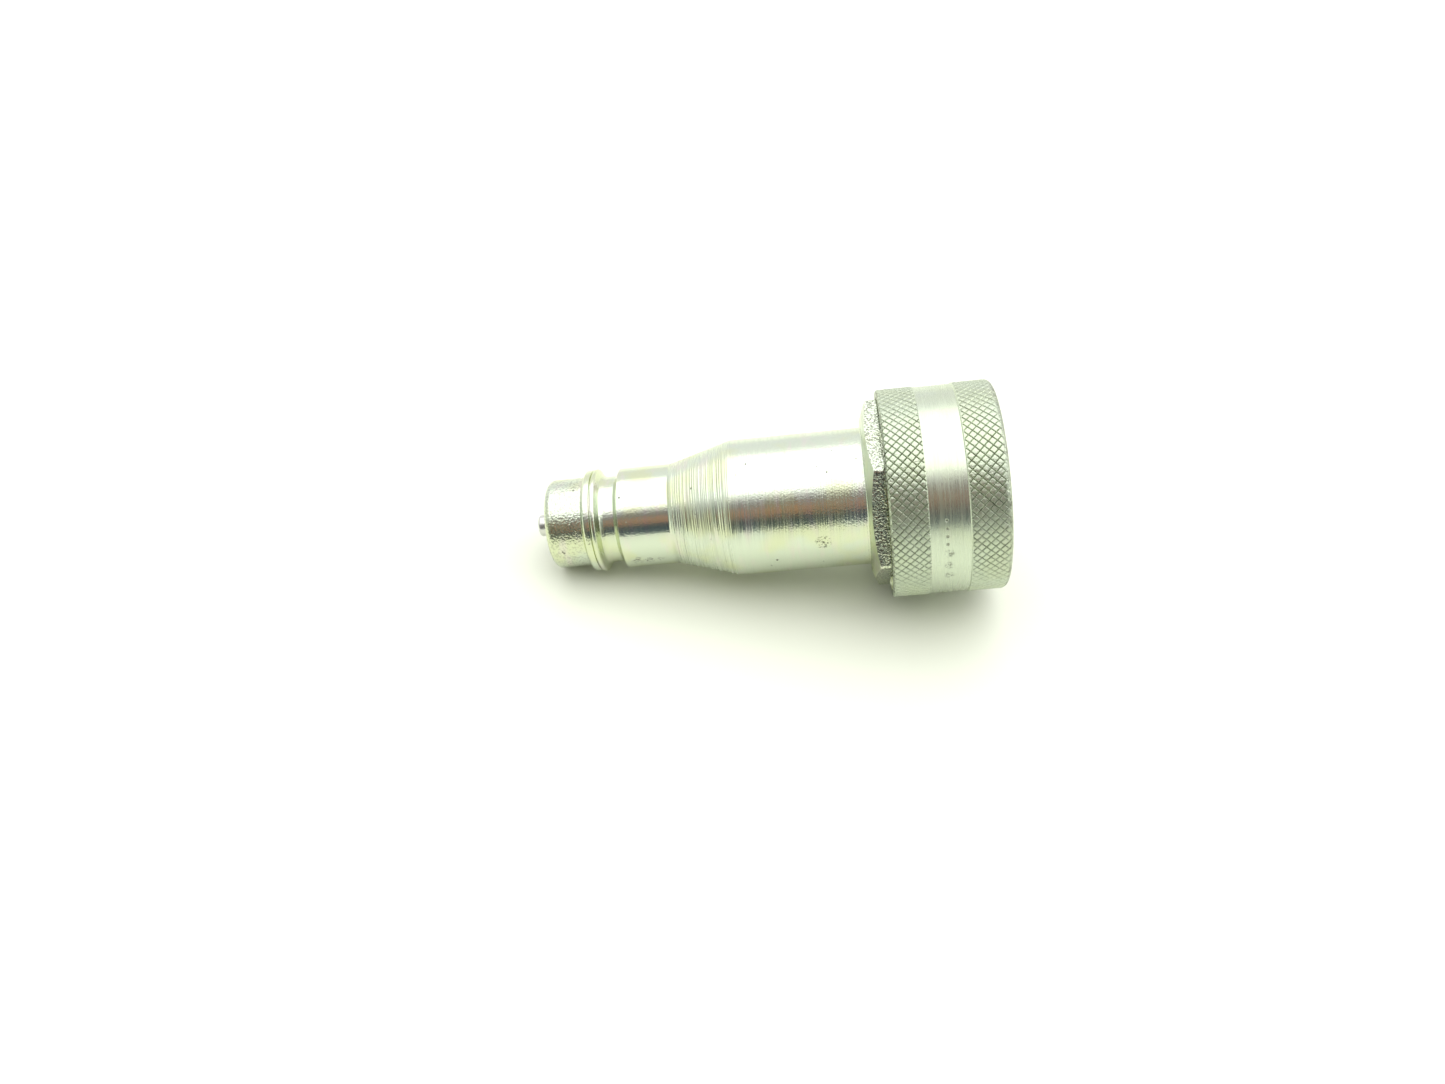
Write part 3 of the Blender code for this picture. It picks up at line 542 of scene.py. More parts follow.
def make_socket_body():
    shoulder = SOCKET_VALVE["face"]
    groove_start = shoulder + SEAL_GROOVE_OFFSET
    groove_end = groove_start + SEAL_GROOVE_WIDTH
    groove_floor = SEAL_BORE + SEAL_GROOVE_DEPTH
    bore_end = BALL_STATION - BORE_LENGTH
    joint_end = FLANGE_START - JOINT_GROOVE_SETBACK
    joint_start = joint_end - JOINT_GROOVE_WIDTH
    joint_floor = COUNTERBORE_RADIUS - 2 * RING_GAP - JOINT_SEAL_SECTION
    ring_floor = SOCKET_RADIUS - RING_GROOVE_DEPTH
    ring_rear, ring_front = STOP_RING_REAR - RING_GAP, STOP_RING_FRONT + RING_GAP
    flange = SKIRT_RADIUS - SLIDE_GAP
    outside = [
        (SPIGOT_START, SPIGOT_RADIUS, 0.3), (joint_start, SPIGOT_RADIUS, 0.1),
        (joint_start, joint_floor, 0.1), (joint_end, joint_floor, 0.1), (joint_end, SPIGOT_RADIUS, 0.1),
        (FLANGE_START, SPIGOT_RADIUS, 0.15), (FLANGE_START, flange, 0.25), (FLANGE_END, flange, 0.25),
        (FLANGE_END, SOCKET_RADIUS, 0.25), (ring_rear, SOCKET_RADIUS, 0.1),
        (ring_rear, ring_floor, 0.08), (ring_front, ring_floor, 0.08),
        (ring_front, SOCKET_RADIUS, 0.1), (SOCKET_FRONT, SOCKET_RADIUS, 0.2)]
    inside = valve_bore(SOCKET_VALVE, shoulder - SPIGOT_START) + [
        (shoulder, SEAL_BORE, 0.2), (groove_start, SEAL_BORE, 0.1), (groove_start, groove_floor, 0.1),
        (groove_end, groove_floor, 0.1), (groove_end, SEAL_BORE, 0.1),
        (bore_end - 1.2, SEAL_BORE, 0.3), (bore_end, SOCKET_BORE, 0.3),
        (SOCKET_FRONT - SOCKET_ENTRY, SOCKET_BORE, 0.3),
        (SOCKET_FRONT, SOCKET_BORE + SOCKET_ENTRY, 0.12)]
    body = turned("socket_shell", outside + inside[::-1])
    throat = math.sqrt(BALL_RADIUS ** 2 - (SOCKET_BORE - BALL_CENTRE) ** 2) + BALL_GAP
    hole = BALL_RADIUS + BALL_GAP
    start, top = SOCKET_BORE - BALL_PROTRUSION, SKIRT_RADIUS
    drills = []
    for i in range(BALL_COUNT):
        angle = math.tau * i / BALL_COUNT
        for low, high, r1, r2 in ((start, SOCKET_BORE + CUTTER_OVERLAP, throat, throat),
                                  (SOCKET_BORE, SOCKET_BORE + BALL_THROAT, throat, hole),
                                  (SOCKET_BORE + BALL_THROAT - CUTTER_OVERLAP, top, hole, hole)):
            matrix = around(angle, BALL_STATION, (low + high) / 2)
            drills.append(rod(f"drill_{len(drills)}", matrix, high - low, r1, BALL_HOLE_SIDES, r2))
    cut(body, drills)
    return body


def make_ball(index):
    """Bearing ball: a cube blown up to a sphere, with the polished track of its seat."""
    mesh = bpy.data.meshes.new(f"ball_{index}")
    shape = bmesh.new()
    bmesh.ops.create_cube(shape, size=1.0)
    bmesh.ops.subdivide_edges(shape, edges=shape.edges, cuts=BALL_CUTS, use_grid_fill=True)
    for vert in shape.verts:
        vert.co = vert.co.normalized()
        track = math.exp(-((vert.co.z + 0.55) / 0.05) ** 2)
        vert.co *= (BALL_RADIUS - TRACK_DEPTH * track) * MM
    shape.to_mesh(mesh)
    shape.free()
    mesh.transform(around(math.tau * (index - 1) / BALL_COUNT, BALL_STATION, BALL_CENTRE))
    return new_object(f"ball_{index}", mesh)


def split_ring(name, node, inner, outer):
    """Retaining ring with rounded edges and a slot on its underside, whose ends are rounded too."""
    start, end = ends(node)
    ring = turned(name, [(start, outer, 0.18), (end, outer, 0.18), (end, inner, 0.18),
                         (start, inner, 0.18)])
    middle = (inner + outer) / 2
    size = (3 * (end - start) * MM, RING_SLOT * MM, 3 * (outer - inner) * MM)
    slot = operator_mesh(name + "_slot", bmesh.ops.create_cube, size=1.0,
                         matrix=Matrix.Diagonal((*size, 1.0)))
    slot.transform(around(math.pi, (start + end) / 2, middle))
    cut(ring, [new_object(name + "_slot", slot)])
    bevel = ring.modifiers.new("edges", "BEVEL")
    bevel.width = RING_BEVEL * MM
    bevel.segments = 2
    bevel.limit_method = "ANGLE"
    bevel.angle_limit = math.radians(60)
    apply_modifiers(ring)
    return ring


def o_ring(name, node):
    """Moulded ring with the fine flash line of its mould halfway up the section."""
    start, end = ends(node)
    section = (end - start) / 2
    mean = reach(node) - section
    corners = []
    for i in range(SEAL_POINTS):
        angle = math.tau * i / SEAL_POINTS
        radius = section + (FLASH_HEIGHT if i % (SEAL_POINTS // 2) == SEAL_POINTS // 4 else 0.0)
        corners.append(((start + end) / 2 + radius * math.cos(angle),
                        mean + radius * math.sin(angle), 0.0))
    return turned(name, corners)


def make_backup_ring():
    start, end = ends("socket_backup_ring")
    centre = SEAL_BORE - O_RING_SQUEEZE + O_RING_SECTION / 2
    outer, inner = centre + O_RING_SECTION / 2, SEAL_BORE + RING_GAP
    return turned("backup_ring", [(start, outer, 0.12), (end, outer, 0.12), (end, inner, 0.12),
                                  (start, inner, 0.12)])


# ---- valves and springs

def poppet_cone(valve, depth):
    return valve["mouth"] + depth - OPENING_LENGTH - SEAT_OFFSET


def make_poppet(name, valve):
    rim = valve["chamber"] - RIM_GAP
    groove = OPENING_LENGTH + SEAL_SETBACK - SEAL_GROOVE / 2
    groove_end = groove + SEAL_GROOVE
    floor = valve["mouth"] - SEAL_FLOOR
    cone_end = rim - valve["mouth"] + OPENING_LENGTH + SEAT_OFFSET
    stem_end = valve["guide"] + GUIDE_PLATE + HUB_REAR + 1.0
    tip = -valve["tip"]
    return turned(name, valve_corners(valve, [
        (tip, 0.0, 0.0), (tip, TIP_RADIUS, 0.55), (HEAD_RECESS, TIP_RADIUS, 0.3),
        (HEAD_RECESS, poppet_cone(valve, HEAD_RECESS), 0.12), (groove, poppet_cone(valve, groove), 0.06),
        (groove, floor, 0.1), (groove_end, floor, 0.1),
        (groove_end, min(poppet_cone(valve, groove_end), rim), 0.06),
        (max(cone_end, groove_end + 0.5), rim, 0.15), (HEAD_LENGTH, rim, 0.15),
        (HEAD_LENGTH, STEM_RADIUS, 0.3), (stem_end, STEM_RADIUS, 0.4), (stem_end, 0.0, 0.0)]), False)


def make_guide(name, valve):
    plate = valve["chamber"] - SLIDE_GAP
    plate_end = valve["guide"] + GUIDE_PLATE
    hub_start = HEAD_LENGTH + POPPET_STROKE + SEAT_GAP
    bore = STEM_RADIUS + STEM_GAP
    outside = valve_corners(valve, [
        (hub_start, HUB_RADIUS, 0.2), (valve["guide"], HUB_RADIUS, 0.3), (valve["guide"], plate, 0.2),
        (plate_end, plate, 0.2), (plate_end, HUB_RADIUS, 0.3), (plate_end + HUB_REAR, HUB_RADIUS, 0.2)])
    inside = valve_corners(valve, [(hub_start, bore, 0.15), (plate_end + HUB_REAR, bore, 0.15)])
    guide = turned(name, outside + inside[::-1])
    nearest = HUB_RADIUS + FLOW_WEB
    furthest = valve["chamber"] - CIRCLIP_INSIDE - FLOW_WEB
    station = valve_at(valve, valve["guide"] + GUIDE_PLATE / 2)
    cut(guide, [rod(f"flow_{i}", around(math.tau * i / FLOW_HOLES, station, (nearest + furthest) / 2)
                    @ LENGTHWISE, 3 * GUIDE_PLATE, (furthest - nearest) / 2, FLOW_HOLE_SIDES)
                for i in range(FLOW_HOLES)])
    return guide


def make_spring(name, node, mean_radius, wire, turns):
    """Coil of round wire with closed ends, ground flat where they bear."""
    start, end = ends(node)
    rise = end - start - wire
    dead_pitch = DEAD_PITCH * wire
    live_pitch = (rise - 2 * DEAD_TURNS * dead_pitch) / (turns - 2 * DEAD_TURNS)
    curve = bpy.data.curves.new(name, "CURVE")
    curve.dimensions = "3D"
    curve.bevel_depth = wire / 2 * MM
    curve.bevel_resolution = 4
    curve.use_fill_caps = True
    spline = curve.splines.new("POLY")
    count = round(turns * COIL_STEPS) + 1
    spline.points.add(count - 1)
    for i, point in enumerate(spline.points):
        turn = turns * i / (count - 1)
        dead = min(turn, DEAD_TURNS) + max(turn - (turns - DEAD_TURNS), 0)
        along = start + wire / 2 + dead * dead_pitch + (turn - dead) * live_pitch
        angle = math.tau * turn
        point.co = (NOSE_X + along * MM, mean_radius * math.cos(angle) * MM,
                    mean_radius * math.sin(angle) * MM, 1.0)
    item = new_object(name, curve)
    bpy.context.view_layer.update()
    mesh = bpy.data.meshes.new_from_object(item.evaluated_get(bpy.context.evaluated_depsgraph_get()))
    bpy.data.objects.remove(item, do_unlink=True)
    grind = GRIND * wire
    shape = bmesh.new()
    shape.from_mesh(mesh)
    bmesh.ops.remove_doubles(shape, verts=shape.verts, dist=0.001 * MM)
    for place, side in ((start + grind, -1), (end - grind, 1)):
        everything = shape.verts[:] + shape.edges[:] + shape.faces[:]
        cutting = bmesh.ops.bisect_plane(shape, geom=everything, dist=0.0001 * MM, clear_outer=True,
                                         plane_co=(NOSE_X + place * MM, 0, 0), plane_no=(side, 0, 0))
        rim = [e for e in cutting["geom_cut"] if isinstance(e, bmesh.types.BMEdge)]
        bmesh.ops.holes_fill(shape, edges=rim, sides=0)
    bmesh.ops.recalc_face_normals(shape, faces=shape.faces)
    shape.to_mesh(mesh)
    shape.free()
    return new_object(name, mesh)


# ---- materials

class Graph:
    """Short calls that add nodes to a tree and return their output sockets."""

    def __init__(self, tree):
        self.tree = tree

    def add(self, kind, inputs=None, **settings):
        node = self.tree.nodes.new("ShaderNode" + kind)
        for key, value in settings.items():
            setattr(node, key, value)
        for key, value in (inputs or {}).items():
            self.put(node.inputs[key], value)
        return node

    def put(self, socket, value):
        if isinstance(value, bpy.types.NodeSocket):
            self.tree.links.new(value, socket)
        else:
            socket.default_value = value

    def sums(self, operation, first, second=0.0, third=0.0, clamp=False):
        inputs = {0: first, 1: second, 2: third}
        return self.add("Math", inputs, operation=operation, use_clamp=clamp).outputs[0]

    def times(self, first, second):
        return self.sums("MULTIPLY", first, second)

    def line(self, value, slope, offset):
        return self.sums("MULTIPLY_ADD", value, slope, offset)

    def larger(self, first, second):
        return self.sums("MAXIMUM", first, second)

    def rest(self, share):
        return self.sums("SUBTRACT", 1.0, share)

    def ramp(self, factor, stops, colours=False):
        """Piecewise straight curve through stops (place, value), or (place, colour)."""
        node = self.add("ValToRGB", {"Fac": factor})
        elements = node.color_ramp.elements
        while len(elements) < len(stops):
            elements.new(1.0)
        for element, (place, value) in zip(elements, sorted(stops, key=lambda stop: stop[0])):
            element.position = place
            element.color = (*value, 1.0) if colours else (value, value, value, 1.0)
        return node.outputs["Color"]

    def mix(self, factor, first, second, blend="MIX"):
        node = self.add("Mix", data_type="RGBA", blend_type=blend)
        for key, value in ((0, factor), (6, first), (7, second)):
            value = (*value, 1.0) if isinstance(value, tuple) else value
            self.put(node.inputs[key], value)
        return node.outputs[2]

    def scaled(self, place, scale):
        """Place times one frequency, or (along, across, across), in cycles per millimetre."""
        scale = scale if isinstance(scale, tuple) else (scale,) * 3
        return self.add("VectorMath", {0: place, 1: tuple(s / MM for s in scale)},
                        operation="MULTIPLY").outputs[0]

    def noise(self, place, scale, detail=2.0, roughness=0.5):
        inputs = {"Vector": self.scaled(place, scale), "Scale": 1.0, "Detail": detail,
                  "Roughness": roughness}
        return self.add("TexNoise", inputs).outputs["Fac"]

    def cells(self, place, scale):
        inputs = {"Vector": self.scaled(place, scale), "Scale": 1.0}
        return self.add("TexVoronoi", inputs).outputs["Distance"]

    def above(self, value, low, high):
        """0 below low, 1 above high, smooth between."""
        node = self.add("MapRange", {0: value, 1: low, 2: high}, interpolation_type="SMOOTHSTEP")
        return node.outputs[0]

    def bump(self, height, distance):
        inputs = {"Height": height, "Distance": distance * MM, "Strength": 1.0}
        return self.add("Bump", inputs).outputs[0]

    def surface(self, shader, normal, colour, roughness):
        for key, value in (("Normal", normal), ("Base Color", colour), ("Roughness", roughness)):
            self.put(shader.inputs[key], value)


def new_material(name, colour, metallic=0.0):
    material = bpy.data.materials.new(name)
    material.use_nodes = True
    material.diffuse_color = (*colour, 1.0)
    graph = Graph(material.node_tree)
    shader = material.node_tree.nodes["Principled BSDF"]
    shader.inputs["Base Color"].default_value = (*colour, 1.0)
    shader.inputs["Metallic"].default_value = metallic
    place = graph.add("TexCoord").outputs["Object"]
    return material, graph, shader, place


ZINC = (0.65, 0.715, 0.58)
ZINC_YELLOW = (0.67, 0.71, 0.45)
ZINC_PINK = (0.72, 0.68, 0.62)
ZINC_GREY = (0.55, 0.59, 0.51)
# dark colour of grime, and of the painted shade in the knurl's grooves
GRIME_AND_SHADE = (0.10, 0.10, 0.07)
OLD_OIL = (0.35, 0.30, 0.20)
METAL = 1.0

PLUG_SCUFFS = ((19.9, 103.0, NECK_RADIUS, 1.7), (22.6, 104.0, NECK_RADIUS, 1.5),
               (25.3, 103.0, NECK_RADIUS, 1.0), (62.2, 80.0, BARREL_RADIUS, 2.0))
PLUG_PITS = ((0.35, 84.0, NOSE_RADIUS - 0.6, 0.30), (0.40, 97.0, NOSE_RADIUS - 0.5, 0.34),
             (3.3, 82.0, NOSE_RADIUS, 0.26), (3.6, 84.0, NOSE_RADIUS, 0.30))
BAND_MIDDLE = (REAR_BAND_END + PLAIN_BAND_END) / 2 - 0.7
BAND_RADIUS = SLEEVE_RADIUS - PLAIN_BAND_DEPTH
BAND_DOTS = tuple((BAND_MIDDLE, degrees, BAND_RADIUS, 0.42) for degrees in (60.0, 64.5, 69.0, 73.5))
BAND_STARS = tuple((BAND_MIDDLE + 0.3, degrees, BAND_RADIUS, 1.25) for degrees in (79.5, 88.0, 96.5))


def zinc_colour(graph, place, amount):
    """Pale zinc with faint yellow and pink stains of its passivation."""
    broad = graph.noise(place, 0.10, 3.0)
    fine = graph.noise(place, (0.45, 0.12, 0.12), 4.0)
    yellow = graph.times(graph.above(broad, 0.42, 0.62), amount)
    pink = graph.times(graph.above(fine, 0.50, 0.72), amount * 0.8)
    return graph.mix(pink, graph.mix(yellow, ZINC, ZINC_YELLOW), ZINC_PINK)


def body_zones(graph, place, stops):
    """Value that changes along the plug: stops are (station, value)."""
    along = graph.add("SeparateXYZ", {0: place}).outputs[0]
    length = HEX_END * MM
    share = graph.sums("DIVIDE", graph.sums("SUBTRACT", along, NOSE_X), length)
    return graph.ramp(share, [(min(1.0, max(0.0, s / HEX_END)), v) for s, v in stops])


def zone_stops(nose, neck, cone, barrel, end):
    step = 0.12
    return [(0.0, nose), (COLLAR_START + 6, nose), (COLLAR_START + 9, neck), (NECK_END - step, neck),
            (NECK_END + step, cone), (BARREL_START - step, cone), (BARREL_START + step, barrel),
            (HEX_START - step, barrel), (HEX_START + step, end)]


NOSE_GRAIN = [(0.0, .48), (COLLAR_START - 0.4, .48), (COLLAR_START, .20), (18.0, .13), (NECK_END, .08),
              (NECK_END + 1, .12), (BARREL_START, .06), (HEX_START, .2)]


def pits(graph, place, spots):
    """Round marks at spots of (station, degrees, radius, size): 1 up to half the size, 0 beyond it."""
    total = 0.0
    for station, degrees, radius, size in spots:
        angle = math.radians(degrees)
        centre = (NOSE_X + station * MM, -radius * math.sin(angle) * MM, radius * math.cos(angle) * MM)
        away = graph.add("VectorMath", {0: place, 1: centre}, operation="DISTANCE").outputs["Value"]
        total = graph.larger(total, graph.rest(graph.above(away, 0.5 * size * MM, size * MM)))
    return total


def scuffs(graph, place, spots, share=0.55):
    """The same marks, broken up by scratches."""
    scratches = graph.above(graph.noise(place, (1.6, 2.6, 2.6), 4.0, 0.65), share, share + 0.05)
    return graph.times(pits(graph, place, spots), scratches)


def make_plug_zinc():
    """Plated plug: mirror-like neck, coarse turning on the cone, fine turning on the barrel."""
    material, graph, shader, place = new_material("zinc_plug", ZINC, METAL)
    coarse = graph.noise(place, (2.3, 0.012, 0.012), 1.5, 0.5)
    fine = graph.noise(place, (3.6, 0.03, 0.03), 1.5, 0.5)
    speckle = graph.noise(place, 2.3, 1.4, 0.45)
    depth = body_zones(graph, place, zone_stops(.03, 0, 1.35, .14, .2))
    fine_depth = body_zones(graph, place, zone_stops(.03, .02, .45, .34, .1))
    line_height = graph.sums("ADD", graph.times(coarse, depth), graph.times(fine, fine_depth))
    grain = graph.times(speckle, body_zones(graph, place, NOSE_GRAIN))
    specks = graph.rest(graph.above(graph.cells(place, 0.42), 0.05, 0.16))
    chosen = graph.above(graph.noise(place, 0.9, 1.0), 0.62, 0.68)
    specks = graph.times(specks, chosen)
    worn = scuffs(graph, place, PLUG_SCUFFS)
    marks = graph.larger(graph.larger(specks, worn), pits(graph, place, PLUG_PITS))
    height = graph.sums("SUBTRACT", graph.sums("ADD", line_height, grain),
                        graph.times(marks, 0.8))
    base = body_zones(graph, place, zone_stops(.14, .12, .22, .17, .30))
    spread = body_zones(graph, place, zone_stops(.08, .05, .15, .10, .12))
    streak = graph.times(graph.above(fine, 0.40, 0.66), spread)
    rough = graph.sums("ADD", base, streak, clamp=True)
    colour = zinc_colour(graph, place, 0.75)
    nose = body_zones(graph, place, ((0.0, 0.24), (COLLAR_START - 0.2, 0.24), (COLLAR_START, 0.0)))
    tarnish = graph.times(graph.above(speckle, 0.50, 0.60), nose)
    darker = graph.larger(graph.times(marks, 0.85), tarnish)
    graph.surface(shader, graph.bump(height, 0.22), graph.mix(darker, colour, GRIME_AND_SHADE), rough)
    return material


def make_hexagon_zinc():
    """Flats left as the bar was drawn: grainy and pitted under the plating."""
    material, graph, shader, place = new_material("zinc_hexagon", ZINC_GREY, METAL)
    grain = graph.noise(place, 2.3, 1.4, 0.45)
    cells = graph.cells(place, 2.0)
    darkening = graph.above(graph.noise(place, 2.7), 0.48, 0.58)
    colour = graph.mix(graph.times(darkening, 0.7), zinc_colour(graph, place, 0.5), GRIME_AND_SHADE)
    height = graph.bump(graph.line(cells, 0.35, grain), 0.10)
    graph.surface(shader, height, colour, graph.line(cells, 0.1, 0.16))
    return material


def make_knurl_zinc():
    """Knurled bands: painted shade and grime in the grooves, where the surface lies nearer to the axis."""
    material, graph, shader, place = new_material("zinc_knurl", ZINC_GREY, METAL)
    grain = graph.noise(place, 2.2)
    low = graph.noise(place, 0.35, 3.0)
    across = graph.add("VectorMath", {0: place, 1: (0.0, 1.0, 1.0)}, operation="MULTIPLY").outputs[0]
    radius = graph.add("VectorMath", {0: across}, operation="LENGTH").outputs["Value"]
    top = (SLEEVE_RADIUS - 0.02) * MM
    # painted shade: the grooves, sunk below the knurl's tops, are darkened in patches like grime
    groove_shade = graph.rest(graph.above(radius, top - GROOVE_DEPTH * MM, top))
    patchy = graph.line(graph.above(low, 0.35, 0.7), 0.5, 0.5)
    darkening = graph.times(groove_shade, graph.times(patchy, graph.above(grain, 0.3, 0.6)))
    colour = graph.mix(0.45, zinc_colour(graph, place, 0.2), ZINC_GREY, "MULTIPLY")
    colour = graph.mix(graph.times(darkening, 0.8), colour, GRIME_AND_SHADE)
    graph.surface(shader, graph.bump(grain, 0.11), colour, graph.line(grain, 0.2, 0.24))
    return material


def make_band_zinc():
    """Brushed band between the knurls: streaks around the sleeve, satin."""
    material, graph, shader, place = new_material("zinc_band", ZINC, METAL)
    streaks = graph.noise(place, (3.2, 0.05, 0.05), 5.0, 0.7)
    broad = graph.noise(place, (0.5, 0.12, 0.12), 3.0)
    speckle = graph.noise(place, 2.0, 4.0, 0.7)
    marks = graph.larger(pits(graph, place, BAND_DOTS), scuffs(graph, place, BAND_STARS, 0.52))
    height = graph.sums("SUBTRACT", graph.line(speckle, 0.35, streaks), graph.times(marks, 2.5))
    specks = graph.larger(graph.above(speckle, 0.68, 0.74), marks)
    colour = graph.mix(0.2, zinc_colour(graph, place, 0.2), ZINC_GREY, "MULTIPLY")
    colour = graph.mix(graph.times(specks, 0.6), colour, GRIME_AND_SHADE)
    rough = graph.line(graph.above(streaks, 0.4, 0.7), 0.14, graph.line(broad, 0.16, 0.16))
    graph.surface(shader, graph.bump(height, 0.045), colour, rough)
    return material


def make_socket_zinc():
    """Machined inside parts: plated, with even turning marks and a film of old oil."""
    material, graph, shader, place = new_material("zinc_socket", ZINC_GREY, METAL)
    lines = graph.noise(place, (4.5, 0.02, 0.02), 4.0, 0.6)
    oil = graph.times(graph.above(graph.noise(place, 0.25, 4.0), 0.48, 0.7), 0.35)
    colour = graph.mix(oil, zinc_colour(graph, place, 0.9), OLD_OIL)
    graph.surface(shader, graph.bump(lines, 0.018), colour, graph.line(lines, 0.22, 0.14))
    return material


def make_steel(name, colour, roughness, scale, depth):
    """Bare steel with fine marks and faint stains; scale is the marks' frequency."""
    material, graph, shader, place = new_material(name, colour, METAL)
    marks = graph.noise(place, scale, 4.0, 0.65)
    darker = tuple(0.55 * c for c in colour)
    stain = graph.times(graph.above(graph.noise(place, 0.5, 4.0), 0.5, 0.72), 0.5)
    graph.surface(shader, graph.bump(marks, depth), graph.mix(stain, colour, darker),
                  graph.line(marks, 0.2, roughness))
    return material


def make_soft(name, colour, dust, roughness, grain):
    """Rubber or plastic with a fine moulded grain and a little dust."""
    material, graph, shader, place = new_material(name, colour)
    surface = graph.noise(place, grain, 4.0, 0.6)
    amount = graph.times(graph.above(graph.noise(place, 0.8, 5.0), 0.5, 0.75), 0.4)
    graph.surface(shader, graph.bump(surface, 0.02), graph.mix(amount, colour, dust),
                  graph.line(surface, 0.2, roughness))
    return material


def paint(item, *materials):
    item.data.materials.clear()
    for material in materials:
        item.data.materials.append(material)


def assign(item, index, wanted):
    """Give a material slot to the faces for which wanted(station, radius, normal) is true."""
    for face in item.data.polygons:
        centre = face.center
        radius = math.hypot(centre.y, centre.z) / MM
        if wanted(station_of(centre.x), radius, face.normal):
            face.material_index = index


# ---- studio

def floor_frame():
    """Normal of the floor on which the coupler rests, and how far the floor is from the origin.

    The coupler lies on its sleeve's rear edge and on the second bead of its collar.
    """
    bead = COLLAR_START + COLLAR_RISE + BEAD_LENGTH
    edge = SLEEVE_REAR + REAR_EDGE
    slope = math.atan2(SLEEVE_RADIUS - COLLAR_RADIUS, edge - bead)
    roll = math.radians(FLOOR_ROLL)
    normal = Vector((math.sin(slope), math.cos(slope) * math.sin(roll), math.cos(slope) * math.cos(roll)))
    depth = normal.x * (NOSE_X + bead * MM) - math.cos(slope) * COLLAR_RADIUS * MM
    return normal, depth


def make_floor(normal, depth):
    mesh = operator_mesh("studio_floor", bmesh.ops.create_grid, x_segments=1, y_segments=1,
                         size=FLOOR_SIZE / 2)
    turn = normal.to_track_quat("Z", "X").to_matrix().to_4x4()
    mesh.transform(Matrix.Translation(normal * depth) @ turn)
    floor = new_object("studio_floor", mesh)
    material, graph, shader, place = new_material("floor_white", (0.9, 0.9, 0.89))
    cloud = graph.noise(place, 0.02, 3.0)
    graph.put(shader.inputs["Base Color"], graph.mix(cloud, (0.89, 0.92, 0.80), (0.88, 0.91, 0.78)))
    shader.inputs["Roughness"].default_value = 0.45
    shader.inputs["Specular IOR Level"].default_value = 0.3
    below = graph.add("NewGeometry").outputs["Backfacing"]
    clear = graph.add("BsdfTransparent").outputs[0]
    seen = graph.add("MixShader", {0: below, 1: shader.outputs[0], 2: clear}).outputs[0]
    output = material.node_tree.nodes["Material Output"]
    graph.put(output.inputs["Surface"], seen)
    paint(floor, material)


def make_world(normal):
    """Room around the object: a white light above, pale far wall, and a dark side at the camera.

    Colours go by the angle from straight above, positive towards the camera's side.
    """
    world = bpy.data.worlds.new("studio")
    bpy.context.scene.world = world
    world.use_nodes = True
    graph = Graph(world.node_tree)
    toward = CAMERA_PLACE - Vector((CAMERA_PLACE.x, 0, 0))
    toward -= toward.dot(normal) * normal
    toward.x = 0.0
    toward.normalize()
    direction = graph.add("TexCoord").outputs["Generated"]
    up = graph.add("VectorMath", {0: direction, 1: tuple(normal)}, operation="DOT_PRODUCT").outputs["Value"]
    side = graph.add("VectorMath", {0: direction, 1: tuple(toward)}, operation="DOT_PRODUCT").outputs["Value"]
    angle = graph.sums("ARCTAN2", side, up)
    share = graph.line(angle, 1 / math.tau, 0.5)

    def stops(*pairs):
        return [(degrees / 360 + 0.5, value) for degrees, value in pairs]

    bounce, wall, white = (0.62, 0.66, 0.56), (0.93, 0.93, 0.97), (1.0, 1.0, 1.0)
    shared = ((-180, bounce), (-95, (0.88, 0.88, 0.90)), (-75, wall), (-44, white), (27, white))
    dark = graph.ramp(share, stops(
        *shared, (35, (0.80, 0.74, 0.80)), (42, (0.26, 0.23, 0.26)), (49, (0.27, 0.21, 0.21)),
        (56, (0.46, 0.25, 0.18)), (64, (0.36, 0.20, 0.15)), (69, (0.13, 0.11, 0.12)),
        (74, (0.05, 0.07, 0.09)), (87, (0.08, 0.11, 0.14)), (93, bounce), (180, bounce)), True)
    grey = graph.ramp(share, stops(
        *shared, (35, (0.74, 0.74, 0.72)), (44, (0.30, 0.31, 0.31)), (62, (0.20, 0.20, 0.18)),
        (86, (0.15, 0.16, 0.17)), (93, bounce), (180, bounce)), True)
    along = graph.add("SeparateXYZ", {0: direction}).outputs[0]
    sideways = graph.sums("ABSOLUTE", along)
    colour = graph.mix(graph.above(sideways, 0.10, 0.34), dark, grey)
    light = graph.ramp(share, stops(*shared, (50, wall), (93, bounce), (180, bounce)), True)
    colour = graph.mix(graph.above(sideways, 0.62, 0.95), colour, light)
    colour = graph.mix(graph.above(along, -0.55, -0.90), colour, FAR_END_SHADE, "MULTIPLY")
    lamp = graph.ramp(share, stops((-180, 0.0), (-54, 0.0), (-42, 1.0), (24, 1.0), (34, 0.0), (180, 0.0)))
    lamp = graph.times(lamp, graph.above(along, -0.52, -0.34))
    strength = graph.line(lamp, LAMP_GAIN * ROOM_GAIN, ROOM_GAIN)
    background = world.node_tree.nodes["Background"]
    graph.put(background.inputs["Color"], colour)
    graph.put(background.inputs["Strength"], strength)


def make_camera():
    data = bpy.data.cameras.new("camera")
    data.lens = CAMERA_LENS
    data.sensor_width = SENSOR_WIDTH
    data.clip_start = 0.005
    camera = bpy.data.objects.new("camera", data)
    back = -CAMERA_FORWARD.normalized()
    right = CAMERA_UP.cross(back).normalized()
    up = back.cross(right)
    turn = Matrix((right, up, back)).transposed().to_4x4()
    camera.matrix_world = Matrix.Translation(CAMERA_PLACE) @ turn
    bpy.context.scene.collection.objects.link(camera)
    bpy.context.scene.camera = camera


# ---- the coupler

def place_piece(item, body, node):
    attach(item, body)
    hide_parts(node)


def finish(item, material, body, node, angle=SHARP_ANGLE):
    """Paint and shade a piece and put it in the place of a CAD node."""
    paint(item, material)
    shade(item, angle)
    place_piece(item, body, node)


